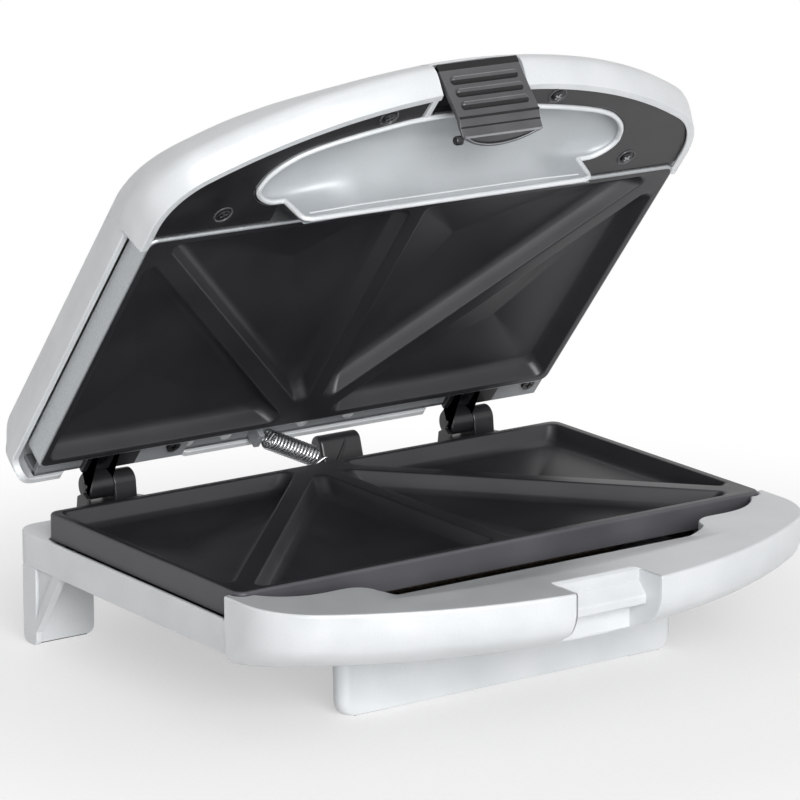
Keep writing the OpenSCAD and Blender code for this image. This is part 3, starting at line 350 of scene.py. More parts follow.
def new_material(name, shader_values):
    material = bpy.data.materials.new(name)
    material.use_nodes = True
    tree = material.node_tree
    tree.nodes.clear()
    shader = add_node(tree, "ShaderNodeBsdfPrincipled", shader_values)
    add_node(tree, "ShaderNodeOutputMaterial", links={"Surface": shader.outputs["BSDF"]})
    return material, tree, shader


def grain(tree, size_mm, detail, stretch=(1, 1, 1)):
    """Noise whose features are size_mm across, fixed to the object."""
    place = add_node(tree, "ShaderNodeTexCoord")
    scale = add_node(tree, "ShaderNodeMapping", {"Scale": stretch}, {"Vector": place.outputs["Object"]})
    noise = add_node(
        tree, "ShaderNodeTexNoise", {"Scale": 1000.0 / size_mm, "Detail": detail},
        {"Vector": scale.outputs["Vector"]},
    )
    return noise.outputs["Fac"]


def colour_from(tree, shader, source, dark, light, low=0.3, high=0.7):
    """Base colour from the dark to the light one as the source goes from low to high."""
    ramp = add_node(tree, "ShaderNodeValToRGB", links={"Fac": source})
    for element, place, colour in zip(ramp.color_ramp.elements, (low, high), (dark, light)):
        element.position = place
        element.color = linear(colour)
    tree.links.new(ramp.outputs["Color"], shader.inputs["Base Color"])


def roughness_from(tree, shader, source, low, high):
    """Roughness from low to high over the middle of the source's range."""
    node = add_node(
        tree, "ShaderNodeMapRange",
        {"From Min": 0.3, "From Max": 0.7, "To Min": low, "To Max": high}, {"Value": source},
    )
    tree.links.new(node.outputs["Result"], shader.inputs["Roughness"])


def bump(tree, shader, source, depth_mm, strength, before=None):
    """Fine relief from the source, laid over an earlier one where that is given."""
    links = {"Height": source}
    if before is not None:
        links["Normal"] = before
    node = add_node(tree, "ShaderNodeBump", {"Distance": depth_mm * 0.001, "Strength": strength}, links)
    tree.links.new(node.outputs["Normal"], shader.inputs["Normal"])
    return node.outputs["Normal"]


def math_node(tree, operation, one, two):
    """The result of a sum on two sources; the second may be a plain number."""
    links, settings = {0: one}, {}
    (settings if isinstance(two, float) else links)[1] = two
    return add_node(tree, "ShaderNodeMath", settings, links, operation=operation).outputs[0]


def make_matt(name, dark, light, roughness, grain_mm=0.3, depth_mm=0.01, cloud_mm=12.0, detail=2.0,
              rise=0.05):
    """A coating or moulding: slow drift in colour and roughness under a fine raised grain."""
    material, tree, shader = new_material(name, {"Roughness": roughness, "IOR": 1.5})
    cloud = grain(tree, cloud_mm, detail)
    colour_from(tree, shader, cloud, dark, light)
    roughness_from(tree, shader, cloud, roughness - 0.04, roughness + rise)
    bump(tree, shader, grain(tree, grain_mm, 2.0), depth_mm, 0.6)
    return material


# %% [markdown]
# ### Silver casing: moulded ABS sprayed with metallic paint
# The casing is moulded plastic under a silver paint with fine flakes, then left satin. The
# paint gives a soft wide highlight and a very slight sparkle, so the shader is part metallic,
# fairly rough, with a 0.35 mm fleck in its colour. Real flakes are finer still. The drop tray
# gets a rougher copy of the same silver in a darker grey, which is painted shade.

# %% Silver painted ABS
def make_silver(name, dark, light, roughness):
    material, tree, shader = new_material(name, {
        "Metallic": 0.2, "Roughness": roughness, "IOR": 1.5, "Coat Weight": 0.1, "Coat Roughness": 0.25,
    })
    flakes, cloud, waves = grain(tree, 0.35, 1.0), grain(tree, 24.0, 2.0), grain(tree, 9.0, 1.0)
    both = math_node(tree, "ADD", math_node(tree, "MULTIPLY", flakes, 0.5), cloud)
    colour_from(tree, shader, both, dark, light, 0.45, 1.0)
    roughness_from(tree, shader, cloud, roughness - 0.03, roughness + 0.03)
    bump(tree, shader, waves, 0.006, 0.5, bump(tree, shader, flakes, 0.004, 0.5))
    return material


silver_paint = make_silver("silver_painted_abs", "#C6C9CB", "#D5D7D9", 0.34)
# The tray's darker copy of the silver is painted shade.
tray_silver_painted_shade = make_silver("silver_abs_painted_shade", "#9DA1A4", "#A9ADB0", 0.46)
print("made", silver_paint.name, "and", tray_silver_painted_shade.name)

# %% [markdown]
# ### Non-stick coating: sprayed PTFE on a grit-blasted aluminium casting
# The hotplates are die-cast aluminium, blasted and sprayed with a charcoal PTFE coating. The
# coating is near black, satin, with a fine orange-peel of about 0.6 mm. On the castings'
# outer skirts the spray lands thin, so they look greyer and more matt.

# %% Non-stick coated casting
PEEL = {"grain_mm": 0.6, "depth_mm": 0.012, "cloud_mm": 30.0, "detail": 3.0, "rise": 0.04}
nonstick = make_matt("nonstick_ptfe_on_cast_aluminium", "#202023", "#28282B", 0.4, **PEEL)
thin_nonstick = make_matt("thin_ptfe_overspray_on_casting", "#3E3E42", "#4C4C50", 0.5, **PEEL)
print("made", nonstick.name, "and", thin_nonstick.name)

# %% [markdown]
# ### Moulded plastics, rubber, ceramic and board
# Black and grey parts are injection-moulded nylon or PBT, which stands the heat. A mould's
# spark-eroded texture gives them a fine matt grain of about 0.3 mm. The pads are pressed
# rubber, the terminal block is fired steatite, and the lamps sit on a glass-fibre board. The
# near-black one is painted shade, laid in the latch's grooves and creases and over its top in
# the lid's well. The lighter, glossier charcoal is a painted highlight along the latch's edges
# and rib tops, and the lighter black is a painted highlight on the rings round the liner's screws.

# %% Moulded plastics
black_nylon = make_matt("black_moulded_nylon", "#1A1A1C", "#202022", 0.36)
latch_plastic = make_matt("charcoal_moulded_pbt", "#424244", "#4B4B4D", 0.34)
grey_plastic = make_matt("grey_moulded_pbt", "#7C7F82", "#86898C", 0.42)
cream_plastic = make_matt("cream_moulded_nylon", "#D9D2BE", "#E2DCCB", 0.5)
white_ceramic = make_matt("white_steatite", "#DEDBD2", "#E8E6DF", 0.6)
rubber = make_matt("black_rubber", "#1C1C1C", "#242424", 0.7, 0.5, 0.02)
board = make_matt("green_fibreglass_board", "#1E5B33", "#27703F", 0.45)
pale_plastic = make_matt("pale_grey_moulded_pbt", "#B9BCBE", "#C3C6C8", 0.35)
screw_ring_highlight_black = make_matt("black_nylon_painted_highlight", "#3A3B3D", "#444547", 0.25, 0.3, 0.004)
painted_shade_black = make_matt("latch_painted_shade", "#060607", "#0A0A0B", 0.85)
painted_highlight_charcoal = make_matt("charcoal_pbt_painted_highlight", "#77797B", "#838587", 0.22, 0.3, 0.004)
print("the frame's and the new materials together:", len(bpy.data.materials))


# %% [markdown]
# ### Metals and lenses
# Screws and pins are turned steel, plated with zinc or blackened. The heat shields are
# aluminised sheet, the casting's bare edge is aluminium, and the heater's sheath has gone
# brown-grey from heat. Lenses are clear tinted acrylic.

# %% Metals and lenses
def make_metal(name, dark, light, low, high, grain_mm=0.4, stretch=(1, 1, 1)):
    material, tree, shader = new_material(name, {"Metallic": 1.0, "Roughness": low})
    marks = grain(tree, grain_mm, 2.0, stretch)
    colour_from(tree, shader, marks, dark, light)
    roughness_from(tree, shader, marks, low, high)
    bump(tree, shader, marks, 0.004, 0.4)
    return material


def make_lens(name, dark, light):
    values = {"Roughness": 0.08, "IOR": 1.49, "Transmission Weight": 0.5}
    material, tree, shader = new_material(name, values)
    colour_from(tree, shader, grain(tree, 2.0, 1.0), dark, light)
    return material


zinc_steel = make_metal("zinc_plated_steel", "#A9ABAD", "#C4C6C8", 0.24, 0.36)
black_steel = make_metal("blackened_steel", "#3A3A3C", "#4A4A4C", 0.3, 0.42)
spring_steel = make_metal("drawn_spring_steel", "#B4B5B7", "#CBCCCE", 0.2, 0.3, 0.5)
sheet_metal = make_metal("aluminised_sheet", "#B9BABB", "#CFD0D1", 0.3, 0.42, 0.8, (1, 8, 1))
heater_sheath = make_metal("heat_tinted_sheath", "#5D544C", "#77695C", 0.4, 0.55, 1.5)
bare_casting = make_metal("cast_aluminium", "#A6A9AB", "#B8BBBD", 0.42, 0.55, 0.6)
red_lens = make_lens("red_acrylic", "#8E0A0A", "#A01010")
green_lens = make_lens("green_acrylic", "#0C6A22", "#128030")
print("with metals and lenses:", len(bpy.data.materials))

# %% [markdown]
# ## Finish the frame's own solids
# Hidden and small parts keep the frame's solid. Each gets the finish of its real material.

# %% Assign finishes to the frame's nodes
FINISHES = [
    (silver_paint, "base_housing front_foot lid_cover drop_tray"),
    (black_nylon, "base_bottom_cover wiring_cover left_base_hinge right_base_hinge"),
    (black_nylon, "lid_liner left_lid_hinge right_lid_hinge"),
    (rubber, "rubber_feet cord_bush"),
    (nonstick, "lower_hotplate upper_hotplate"),
    (heater_sheath, "lower_heater upper_heater"),
    (sheet_metal, "lower_heat_shield upper_heat_shield"),
    (zinc_steel, "lower_plate_screws upper_plate_screws bottom_cover_screws front_foot_screws"),
    (zinc_steel, "thermal_fuse latch_pin"),
    (black_steel, "left_hinge_pin right_hinge_pin base_hinge_screws liner_screws lid_hinge_screws"),
    (spring_steel, "wire_guard_spring latch_spring"),
    (cream_plastic, "cord_clamp thermostat"),
    (white_ceramic, "terminal_block"), (grey_plastic, "lid_rear_frame"), (board, "lamp_holder"),
    (red_lens, "power_lens"), (green_lens, "ready_lens"), (latch_plastic, "latch"),
]
for finish, names in FINISHES:
    for node_name in names.split():
        for slot in frame["nodes"][node_name].material_slots:
            slot.material = finish
print("finished", sum(len(names.split()) for _, names in FINISHES), "of", len(frame["nodes"]), "nodes")

# %% [markdown]
# ## The casing's plan
# Seen from above, the lid and the base's round front share one outline: a shallow arc at the
# front, a tight arc at each front corner, straight sides and small back corners. Each level of
# a shell is that outline drawn in a little, so a shell is a stack of such rings.

# %% Outline of the casing
TOUCH_DEG = math.degrees(TOUCH)
FRONT_ANGLES = [TOUCH * (i / 56 - 1) for i in range(113)]
for edge_x in (NOTCH_HALF, NOTCH_HALF + 0.3):
    FRONT_ANGLES += [math.asin(edge_x / FRONT_R), -math.asin(edge_x / FRONT_R)]
FRONT_ANGLES.sort()


def plan(inset, shift, back_y, pull=0.0):
    """The outline from the left end of the front corner, round the front, then the back."""
    half, r = CASE_HALF - inset, max(BACK_R - inset, 1.0)
    corner_r, corner_y = CORNER_R - inset, CORNER_Y + shift
    bow = [(FRONT_R - inset) * math.sin(a) for a in FRONT_ANGLES]
    bow = [(x, FRONT_MIDDLE_Y + shift - math.sqrt((FRONT_R - inset) ** 2 - x * x)) for x in bow]
    right = arc(CORNER_X, corner_y, corner_r, 270 + TOUCH_DEG, 360, 28, 1)
    left = arc(-CORNER_X, corner_y, corner_r, 180, 270 - TOUCH_DEG, 28)[:-1]
    front = [(x, y - pull * smooth_step(abs(x), 25, CORNER_X + 4)) for x, y in left + bow + right]
    first = front[-1][1]
    side = [(half, first + (back_y - r - first) * i / 40) for i in range(1, 40)]
    back = [(half - r - 2 * (half - r) * i / 60, back_y) for i in range(1, 60)]
    turn = arc(half - r, back_y - r, r, 0, 90, 10)
    return front + side + turn + back + mirrored(turn) + mirrored(side)


print("the outline has", len(plan(0, 0, LID_BACK_Y)), "points")

# %% [markdown]
# ## Lid casing
# The lid is one moulded shell about 2.4 mm thick with a thicker rounded lip. Its section is
# upright at the lip and turns over in one long curve, flatter at the front than at the sides.
# The shell is drawn as rows from the inside of the crown down to the lip, then up the outside.

# %% Lid casing
CROWN = smooth_table([
    (0, 1.2, 2.2, 0, 0), (0.283, 0, 0, 0, 0), (0.459, 0.3, 4.2, 0.2, 1.0), (0.597, 2.2, 9.4, 2.6, 4.5),
    (0.739, 3.4, 19.0, 7.1, 8.0), (0.865, 7.6, 31.8, 15.1, 11.5), (0.943, 13.2, 45.4, 30.1, 13),
    (1, 26.5, 56.5, 50.1, 13.5),
])
LEVELS = 200
LIP_R, LIP_HEIGHT = 0.4, 4.0
FRONT_LIP, SIDE_LIP = 3.0, 2.6
INSIDE_UPS = (0.12, 0.25, 0.38, 0.5, 0.62, 0.73, 0.83, 0.91, 0.96, 1.0)
OUTSIDE_UPS = (0.02, 0.05, 0.1, 0.16, 0.23, 0.3, 0.37, 0.44, 0.5, 0.56, 0.62, 0.68, 0.74, 0.79, 0.84,
               0.88, 0.915, 0.945, 0.97, 0.988, 1.0)
DOME_MIDDLE, DOME_RISE = (0.0, 12.0), 1.4
DOME_RINGS = (0.93, 0.82, 0.68, 0.52, 0.36, 0.2, 0.08)


def lid_low_edge(x, y):
    """Height of the lid's lower edge: raised at the sides, the back and over the latch."""
    z = LID_Z + 9.5 * smooth_step(y, -57.9, -56.9)
    if y > 66:
        z = 60.5 - 5.5 * smooth_step(y, 66, 73)
        for x0, x1 in ((-91.2, -43.2), (65.0, 113.0)):
            if x0 <= x <= x1 and y > 71:
                z = max(z, 58.0)
    if y < -108:
        z += 12.0 * (1 - smooth_step(abs(x), NOTCH_HALF + 0.02, NOTCH_HALF + 0.28))
    return z


def lid_ring(share, inward):
    """The lid's outline at a share of its height, drawn in by the wall for the inside."""
    inset, front, back, pull = CROWN(share)
    return plan(inset + inward, front, LID_BACK_Y - back - inward, pull)


def on_ring(rings, k, share):
    """Point k of the outline at a share of the lid's height."""
    f = min(max(share, 0.0), 1.0) * LEVELS
    i = min(int(f), LEVELS - 1)
    return between(rings[i][k], rings[i + 1][k], f - i)


def climb(rings, k, low, height, ups):
    """Points that climb one side of the wall from the height low to the crown."""
    start = (low - LID_Z) / LID_H
    shares = [start + (1 - start) * up for up in ups]
    return [(*on_ring(rings, k, share), LID_Z + share * height) for share in shares]


def make_lid_casing():
    casing = Piece("lid_casing", on_lid)
    outer, inner = ([lid_ring(i / LEVELS, inward) for i in range(LEVELS + 1)] for inward in (0, WALL))
    turn = [(LIP_R * math.sin(a), LIP_R * (1 - math.cos(a))) for a in QUARTER]
    columns = []
    for k, (x, y) in enumerate(plan(0, 0, LID_BACK_Y)):
        low = lid_low_edge(x, y)
        share = (low + LIP_R - LID_Z) / LID_H
        base = on_ring(outer, k, share)
        inward, _ = toward(base, on_ring(inner, k, share))
        width = FRONT_LIP if y < -57.4 else SIDE_LIP
        lip = [(width - LIP_R + u, v) for u, v in reversed(turn)] + [(LIP_R - u, v) for u, v in turn]
        outside = [stepped(base, inward, d, low + v) for d, v in lip]
        outside += climb(outer, k, low + LIP_R, LID_H, OUTSIDE_UPS)
        top = outside[-1]
        outside += [(*between(DOME_MIDDLE, top, f), top[2] + DOME_RISE * (1 - f * f)) for f in DOME_RINGS]
        foot = low + LIP_HEIGHT
        inside = [(*on_ring(inner, k, (foot - LID_Z) / LID_H), foot)]
        inside += climb(inner, k, foot, LID_H - WALL, INSIDE_UPS)
        columns.append(inside[::-1] + outside)
    casing.grid(list(zip(*columns)), caps=True)
    # Dark well that the latch's head and pin sit in.
    well = [(-108.0, 54.2), (-108.0, 62.8), (-117.0, 62.8), (-117.0, 64.2), (-106.4, 64.2), (-106.4, 54.2)]
    half = NOTCH_HALF + 1.6
    dark = {"finish": 1, "round_by": 0.2}
    casing.prism(well, -half, half, **dark)
    for side in (-1, 1):
        casing.block(span(side, NOTCH_HALF + 0.5, half), (-117.2, -107), (54.2, 63.5), **dark)
        casing.block(span(side, NOTCH_HALF + 0.2, 29.0), (-117.0, -105.8), (54.4, 55.4), **dark)
    casing.done([silver_paint, black_nylon], "lid", ["lid_cover"])


make_lid_casing()

# %% [markdown]
# ## Base casing
# The base is a second moulding: a round hollow front with a trough for the drop tray, thin
# rails beside the hotplate, a back deck and two corner legs. The front is drawn as a closed
# section carried along the outline, so the trough wall, the sloping dip, the crisp top edge
# and the undercut below are all one skin.

# %% The round front
UNDERCUT = smooth_table([(0, 0, 0), (0.28, 0, 0), (0.52, 0, 2), (0.72, 0.3, 8), (0.88, 0.7, 17), (1, 1, 29)])
DEPTHS = (0.0, 0.05, 0.1, 0.2, 0.3, 0.4, 0.5, 0.58, 0.66, 0.74, 0.81, 0.87, 0.92, 0.96, 0.985, 1.0)
FRONT_STEPS = 240
TROUGH_Z, HOLLOW_Z = 36.5, 30.0
OPEN_HALF_W, OPEN_HALF_D, OPEN_R = 110.6, 61.1, 4.6
LOWER_LIP = ((0.02, 0.35), (0.15, 0.1), (0.4, 0.0), (0.7, 0.05), (0.95, 0.35))
# Shares along the outer edge and along the inner edge that face each other.
FACING = [(0, 0), (0.115, 0.085), (0.175, 0.15), (0.2105, 0.205), (0.245, 0.258), (0.5, 0.5)]
FACING += [(1 - a, 1 - b) for a, b in reversed(FACING[:-1])]


def at_back_edge(a, b):
    """Where the line from a to b crosses the round front's back edge."""
    return (between(a, b, (BOW_BACK_Y - a[1]) / (b[1] - a[1]))[0], BOW_BACK_Y)


def front_only(ring):
    """The part of an outline that lies ahead of the round front's back edge."""
    n = len(ring)
    i = next(i for i in range(n) if ring[i - 1][1] > BOW_BACK_Y >= ring[i][1])
    out = [at_back_edge(ring[i - 1], ring[i])]
    while ring[i % n][1] <= BOW_BACK_Y:
        out.append(ring[i % n])
        i += 1
    return out + [at_back_edge(ring[(i - 1) % n], ring[i % n])]


def inner_edge():
    """The top's inner edge from left to right: opening, shoulder, round nose, straight lip."""
    shoulder_y = -72.0
    half = [(OPEN_HALF_W, BOW_BACK_Y), (OPEN_HALF_W, -57.5)]
    half += arc(OPEN_HALF_W - OPEN_R, OPEN_R - OPEN_HALF_D, OPEN_R, 0, -90, 6)
    half += [(104.1, -OPEN_HALF_D)]
    half += arc(84, shoulder_y + 24, 24, -33, -90, 12)
    half += arc(76, shoulder_y - 8, 8, 90, 165, 10)
    half += [(68.0, -79.5)]
    half += [(x, -81.0) for x in (66.5, 60, 52, 44, 36, 28, 20, 18.6, 17.4, 16, 8, 0)]
    return [(-x, y) for x, y in half] + half[-2::-1]


def facing_share(share):
    """The share along the inner edge that faces a share along the outer edge."""
    k = max(i for i in range(len(FACING) - 1) if FACING[i][0] <= share + 1e-9)
    (a0, b0), (a1, b1) = FACING[k], FACING[k + 1]
    return b0 + (b1 - b0) * (share - a0) / (a1 - a0)


def round_edge(outer, u, r, top):
    """A quarter round of radius r where a top face meets the outer wall."""
    return [stepped(outer, u, r * math.sin(a) - r, top - r + r * math.cos(a)) for a in QUARTER]


def add_round_front(casing):
    shares = [i / FRONT_STEPS for i in range(FRONT_STEPS + 1)]
    levels = []
    for d in DEPTHS:
        inset, shift = UNDERCUT(d)
        skins = [resample(front_only(plan(inset + wall, shift, HALF_D)), shares) for wall in (0, WALL)]
        levels.append((BOW_TOP - d * (BOW_TOP - BOW_LOW), *skins))
    columns = []
    for k, edge in enumerate(resample(inner_edge(), [facing_share(s) for s in shares])):
        outer = levels[0][1][k]
        out, length = toward(edge, outer)
        at_trough = edge[1] < -OPEN_HALF_D - 0.3
        floor_z = TROUGH_Z if at_trough else HOLLOW_Z
        back = (min(max(edge[0], -104), 104), 1 - OPEN_HALF_D) if at_trough else stepped(edge, out, -0.01)
        loop = [(*back, floor_z - 2.0), (*back, floor_z)]
        loop.append(stepped(edge, out, -0.8, floor_z) if at_trough else (*edge, floor_z + 0.2))
        loop.append((*edge, floor_z + 0.9))
        dip = 2.5 * smooth_step(69 - abs(edge[0]), 0, 9)
        r = min(0.8, length * 0.2)
        lip_z = BOW_TOP - dip - r
        loop += [stepped(edge, out, r - r * math.cos(a), lip_z + r * math.sin(a)) for a in QUARTER]
        for f in (0.12, 0.25, 0.38, 0.42, 0.46, 0.6, 0.8):
            z = BOW_TOP - dip * (1 - smooth_step(f, 0.0, 0.46))
            loop.append(stepped(edge, out, max(f * length, r + 0.05), z))
        loop += round_edge(outer, out, min(0.9, length * 0.3), BOW_TOP)
        loop += [(*skin[k], z) for z, skin, _ in levels[1:-1]]
        z, skin, inside = levels[-1]
        loop += [(*between(skin[k], inside[k], f), z + h) for f, h in LOWER_LIP]
        loop += [(*inside[k], z) for z, _, inside in reversed(levels[3:-1])]
        wall = between(edge, outer, 0.5) if length < 5 else stepped(edge, out, 2.2)
        loop += [(*wall, BOW_TOP - 4.4), (*wall, floor_z - 2.0)]
        columns.append(loop)
    casing.grid(columns, caps=True)


base_shell = Piece("base_casing", on_base)
add_round_front(base_shell)
print("the round front has", len(base_shell.bm.faces), "faces")

# %% [markdown]
# ### Rails and legs
# Beside the hotplate the moulding is a thin upright rail. Behind it the rail's top widens into
# a flat deck with an upright outer wall, and both are one section carried round. A leg at each
# back corner has a strip with a rounded toe, a wall across, a thin web and a slanting brace.

# %% Rails, deck and legs
RAIL_HALF = 112.2


def rail_columns():
    """Pairs of points, outer and inner, along the rails and the back deck."""
    pairs = [((RAIL_HALF, y), (OPEN_HALF_W, y)) for y in [BOW_BACK_Y - 3 + i * 8 for i in range(15)]]
    pairs += [((RAIL_HALF, 66.0), (OPEN_HALF_W, 56.0)), ((RAIL_HALF, 71.0), (OPEN_HALF_W, 56.6))]
    outer = arc(RAIL_HALF - BACK_R, BASE_BACK_Y - BACK_R, BACK_R, 0, 90, 8, 1)
    inner = arc(OPEN_HALF_W - OPEN_R, OPEN_HALF_D - OPEN_R, OPEN_R, 0, 90, 8, 1)
    pairs += list(zip(outer, inner))
    pairs += [((x, BASE_BACK_Y), (x, OPEN_HALF_D)) for x in (96, 80, 60, 40, 20, 0)]
    return pairs + [((-a[0], a[1]), (-b[0], b[1])) for a, b in reversed(pairs[:-1])]


def add_rails(casing):
    columns = []
    for outer, inner in rail_columns():
        u, length = toward(inner, outer)
        wall = min(WALL, length - 0.05)
        under = RAIL_TOP - WALL if length > 3 else RAIL_LOW + 0.9
        loop = [(*inner, under), (*inner, RAIL_TOP - 0.35), stepped(inner, u, 0.3, RAIL_TOP)]
        loop += round_edge(outer, u, 0.7, RAIL_TOP)
        foot = ((0, 0.5), (0.15, 0.15), (0.5, 0), (wall - 0.2, 0), (wall, 0.3))
        loop += [stepped(outer, u, -d, RAIL_LOW + h) for d, h in foot]
        columns.append(loop + [stepped(outer, u, -wall, under)])
    casing.grid(columns, caps=True)


def add_leg(casing, side):
    top = RAIL_LOW + 0.3
    toe = arc(67.6, 3.2, 2.8, 180, 270, 6) + arc(71.2, 3.2, 2.8, 270, 360, 6)
    casing.prism([(64.8, top), *toe, (74.0, top)], *span(side, RAIL_HALF, 109.6), round_by=0.6)
    high = RAIL_LOW + 2.0
    wall = [(111.0, high), (111.0, 0.15), *arc(89.2, 3.15, 3.0, 270, 180, 8), (86.2, high)]
    casing.prism([(side * x, z) for x, z in wall], 68.8, 72.4, "y", round_by=0.5)
    web = [(50.6, top), (65.0, top), (65.0, 9.0), (64.4, 9.0)]
    casing.prism(web, *span(side, 111.1, 109.4), round_by=0.3)
    brace = [(46.5, 28.7), *arc(46.5, 24.6, 4.0, 90, 34, 6), (64.9, 5.4), (65.4, 9.8), (53.4, 28.9)]
    casing.prism(brace, *span(side, RAIL_HALF, 109.4), round_by=0.35)


add_rails(base_shell)
for leg_side in (-1, 1):
    add_leg(base_shell, leg_side)
base_casing = base_shell.done([silver_paint], "base", ["base_housing"])

# %% [markdown]
# ### The latch's keeper
# A square notch in the round front holds the keeper: a short slope that the hook rides over,
# a lip that it snaps under, and a hollow below. The notch is cut out of the casing with its
# edges left crisp, and the keeper is moulded inside it.

# %% Notch and keeper
def cut_notch():
    cutter = Piece("notch_cutter", on_base)
    outline = [(-109.5, 60), (-130, 60), (-130, 10), (-104.0, 10), (-104.0, 36.5), (-109.5, 37.4)]
    cutter.prism(outline, -NOTCH_HALF, NOTCH_HALF)
    tool = cutter.link()
    cut = base_casing.modifiers.new("latch notch", "BOOLEAN")
    cut.operation = "DIFFERENCE"
    cut.object = tool
    cut.solver = "EXACT"
    with bpy.context.temp_override(object=base_casing, active_object=base_casing):
        while base_casing.modifiers[0] != cut:
            bpy.ops.object.modifier_move_up(modifier=cut.name)
        bpy.ops.object.modifier_apply(modifier=cut.name)
    bpy.data.objects.remove(tool)
    print("with its notch the base casing has", len(base_casing.data.polygons), "faces")


def make_keeper():
    keeper = Piece("latch_keeper", on_base)
    half = NOTCH_HALF + 0.3
    slope = [
        (-108.0, 45.4), (-109.4, 45.2), (-113.0, 41.3), (-113.4, 40.4), (-113.1, 37.6), (-108.6, 37.0),
        (-104.6, 36.6), (-104.6, 27.4), (-101.9, 27.2), (-101.9, 39.5), (-106.0, 46.4),
    ]
    keeper.prism(slope, -half, half, round_by=0.45, steps=4)
    keeper.block((-half, half), (-109.4, -108.0), (44.0, 48.6), round_by=0.2)
    # The two side walls. The left one has a slot for the peg on the latch's corner.
    above = [(-104.0, 48.94), (-120.5, 48.94), (-121.05, 48.3), (-121.12, 42.0), (-120.3, 38.8)]
    slot = [(-109.8, 38.3), (-109.8, 33.4)]
    below = [(-116.5, 33.3), (-112.8, 31.0), (-108.2, 28.8), (-103.6, 27.1), (-101.9, 26.6), (-101.9, 44.0)]
    for side, middle in ((-1, slot), (1, [(-119.0, 36.0)])):
        keeper.prism(above + middle + below, *span(side, NOTCH_HALF - 0.12, NOTCH_HALF + 1.6))
    keeper.done([silver_paint], "base")


cut_notch()
make_keeper()

# %% [markdown]
# ## Hotplates
# Each hotplate is one aluminium die casting with four three-sided pockets that cut a sandwich
# into quarters and seal it. A pocket's wall drops steeply from a flat land, then three shallow
# facets run to its deepest point. Casting needs rounds everywhere, so every ring of a pocket
# has round corners, and its top and foot are filleted.

# %% Hotplates
BACK_MID, FRONT_LEFT, FRONT_MID = (0.0, HALF_D), (-HALF_W, -HALF_D), (0.0, -HALF_D)
LEFT_POCKETS = [[(-HALF_W, HALF_D), BACK_MID, FRONT_LEFT], [FRONT_LEFT, BACK_MID, FRONT_MID]]
LAND, WALL_DROP, POCKET_DEPTH, DRAFT, SKIRT = 2.8, 6.5, 10.5, 3.0, 9.5
TOP_FILLET, FOOT_FILLET = 0.9, 3.2
PLATE_R = 4.0


def incentre(t):
    """The middle of a triangle's inner circle, and that circle's radius."""
    a, b, c = math.dist(t[1], t[2]), math.dist(t[2], t[0]), math.dist(t[0], t[1])
    whole = a + b + c
    x, y = ((a * t[0][i] + b * t[1][i] + c * t[2][i]) / whole for i in (0, 1))
    area = abs((t[1][0] - t[0][0]) * (t[2][1] - t[0][1]) - (t[2][0] - t[0][0]) * (t[1][1] - t[0][1]))
    return (x, y), area / whole


def round_triangle(t, inset, corner, z):
    """A triangle drawn in by inset, with its corners rounded, at height z."""
    centre, reach = incentre(t)
    tips = [Vector(between(v, centre, inset / reach)) for v in t]
    corner = min(corner, 0.8 * (reach - inset))
    ring = []
    for i in range(3):
        here, ahead, behind = (tips[k % 3] for k in (i, i + 1, i + 2))
        one, two = (behind - here).normalized(), (ahead - here).normalized()
        half = one.angle(two) / 2
        next_half = (here - ahead).angle(behind - ahead) / 2
        middle = here + (one + two).normalized() * (corner / math.sin(half))
        start = here + one * (corner / math.tan(half)) - middle
        leave = here + two * (corner / math.tan(half))
        turn = start.angle_signed(leave - middle) if start.length > 1e-9 else 0.0
        for a in (-turn * k / 8 for k in range(9)):
            c, s = math.cos(a), math.sin(a)
            ring.append((middle.x + start.x * c - start.y * s, middle.y + start.x * s + start.y * c, z))
        far = ahead - two * (corner / math.tan(next_half))
        ring += [(*leave.lerp(far, k / 10), z) for k in range(1, 10)]
    return ring


def pocket_rings(t):
    """Rings from the land, over the wall and down the three facets to the deepest point."""
    _, reach = incentre(t)
    rings = [(LAND, 3.2, 0.0)]
    for a in map(math.radians, (25, 45, 65)):
        rings.append((LAND + TOP_FILLET * math.sin(a), 3.2, -TOP_FILLET * (1 - math.cos(a))))
    for f in (0.0, 0.5, 1.0):
        rings.append((LAND + TOP_FILLET + (DRAFT - 1.4) * f, 3.4, -TOP_FILLET - (WALL_DROP - 2.6) * f))
    waist, low = LAND + DRAFT - 0.5, -WALL_DROP + 1.7
    run = (POCKET_DEPTH - WALL_DROP) / (reach - LAND - DRAFT)
    for f in (0.2, 0.4, 0.6, 0.8, 1.0):
        fall = -WALL_DROP - run * (FOOT_FILLET * f - 0.5) - low
        rings.append((waist + FOOT_FILLET * f, 3.6, low + fall * (1 - (1 - f) ** 2.2)))
    foot, foot_z = waist + FOOT_FILLET, rings[-1][2]
    for f in (0.15, 0.3, 0.45, 0.6, 0.75, 0.88, 0.96):
        z = foot_z + (-POCKET_DEPTH - foot_z) * f
        rings.append((foot + (reach - foot) * f, 3.6 * (1 - f) + 0.4, z))
    return [round_triangle(t, *ring) for ring in rings]


def plate_ring(inset, z):
    return round_ring(HALF_W - inset, HALF_D - inset, PLATE_R - min(inset, 3.0), z)


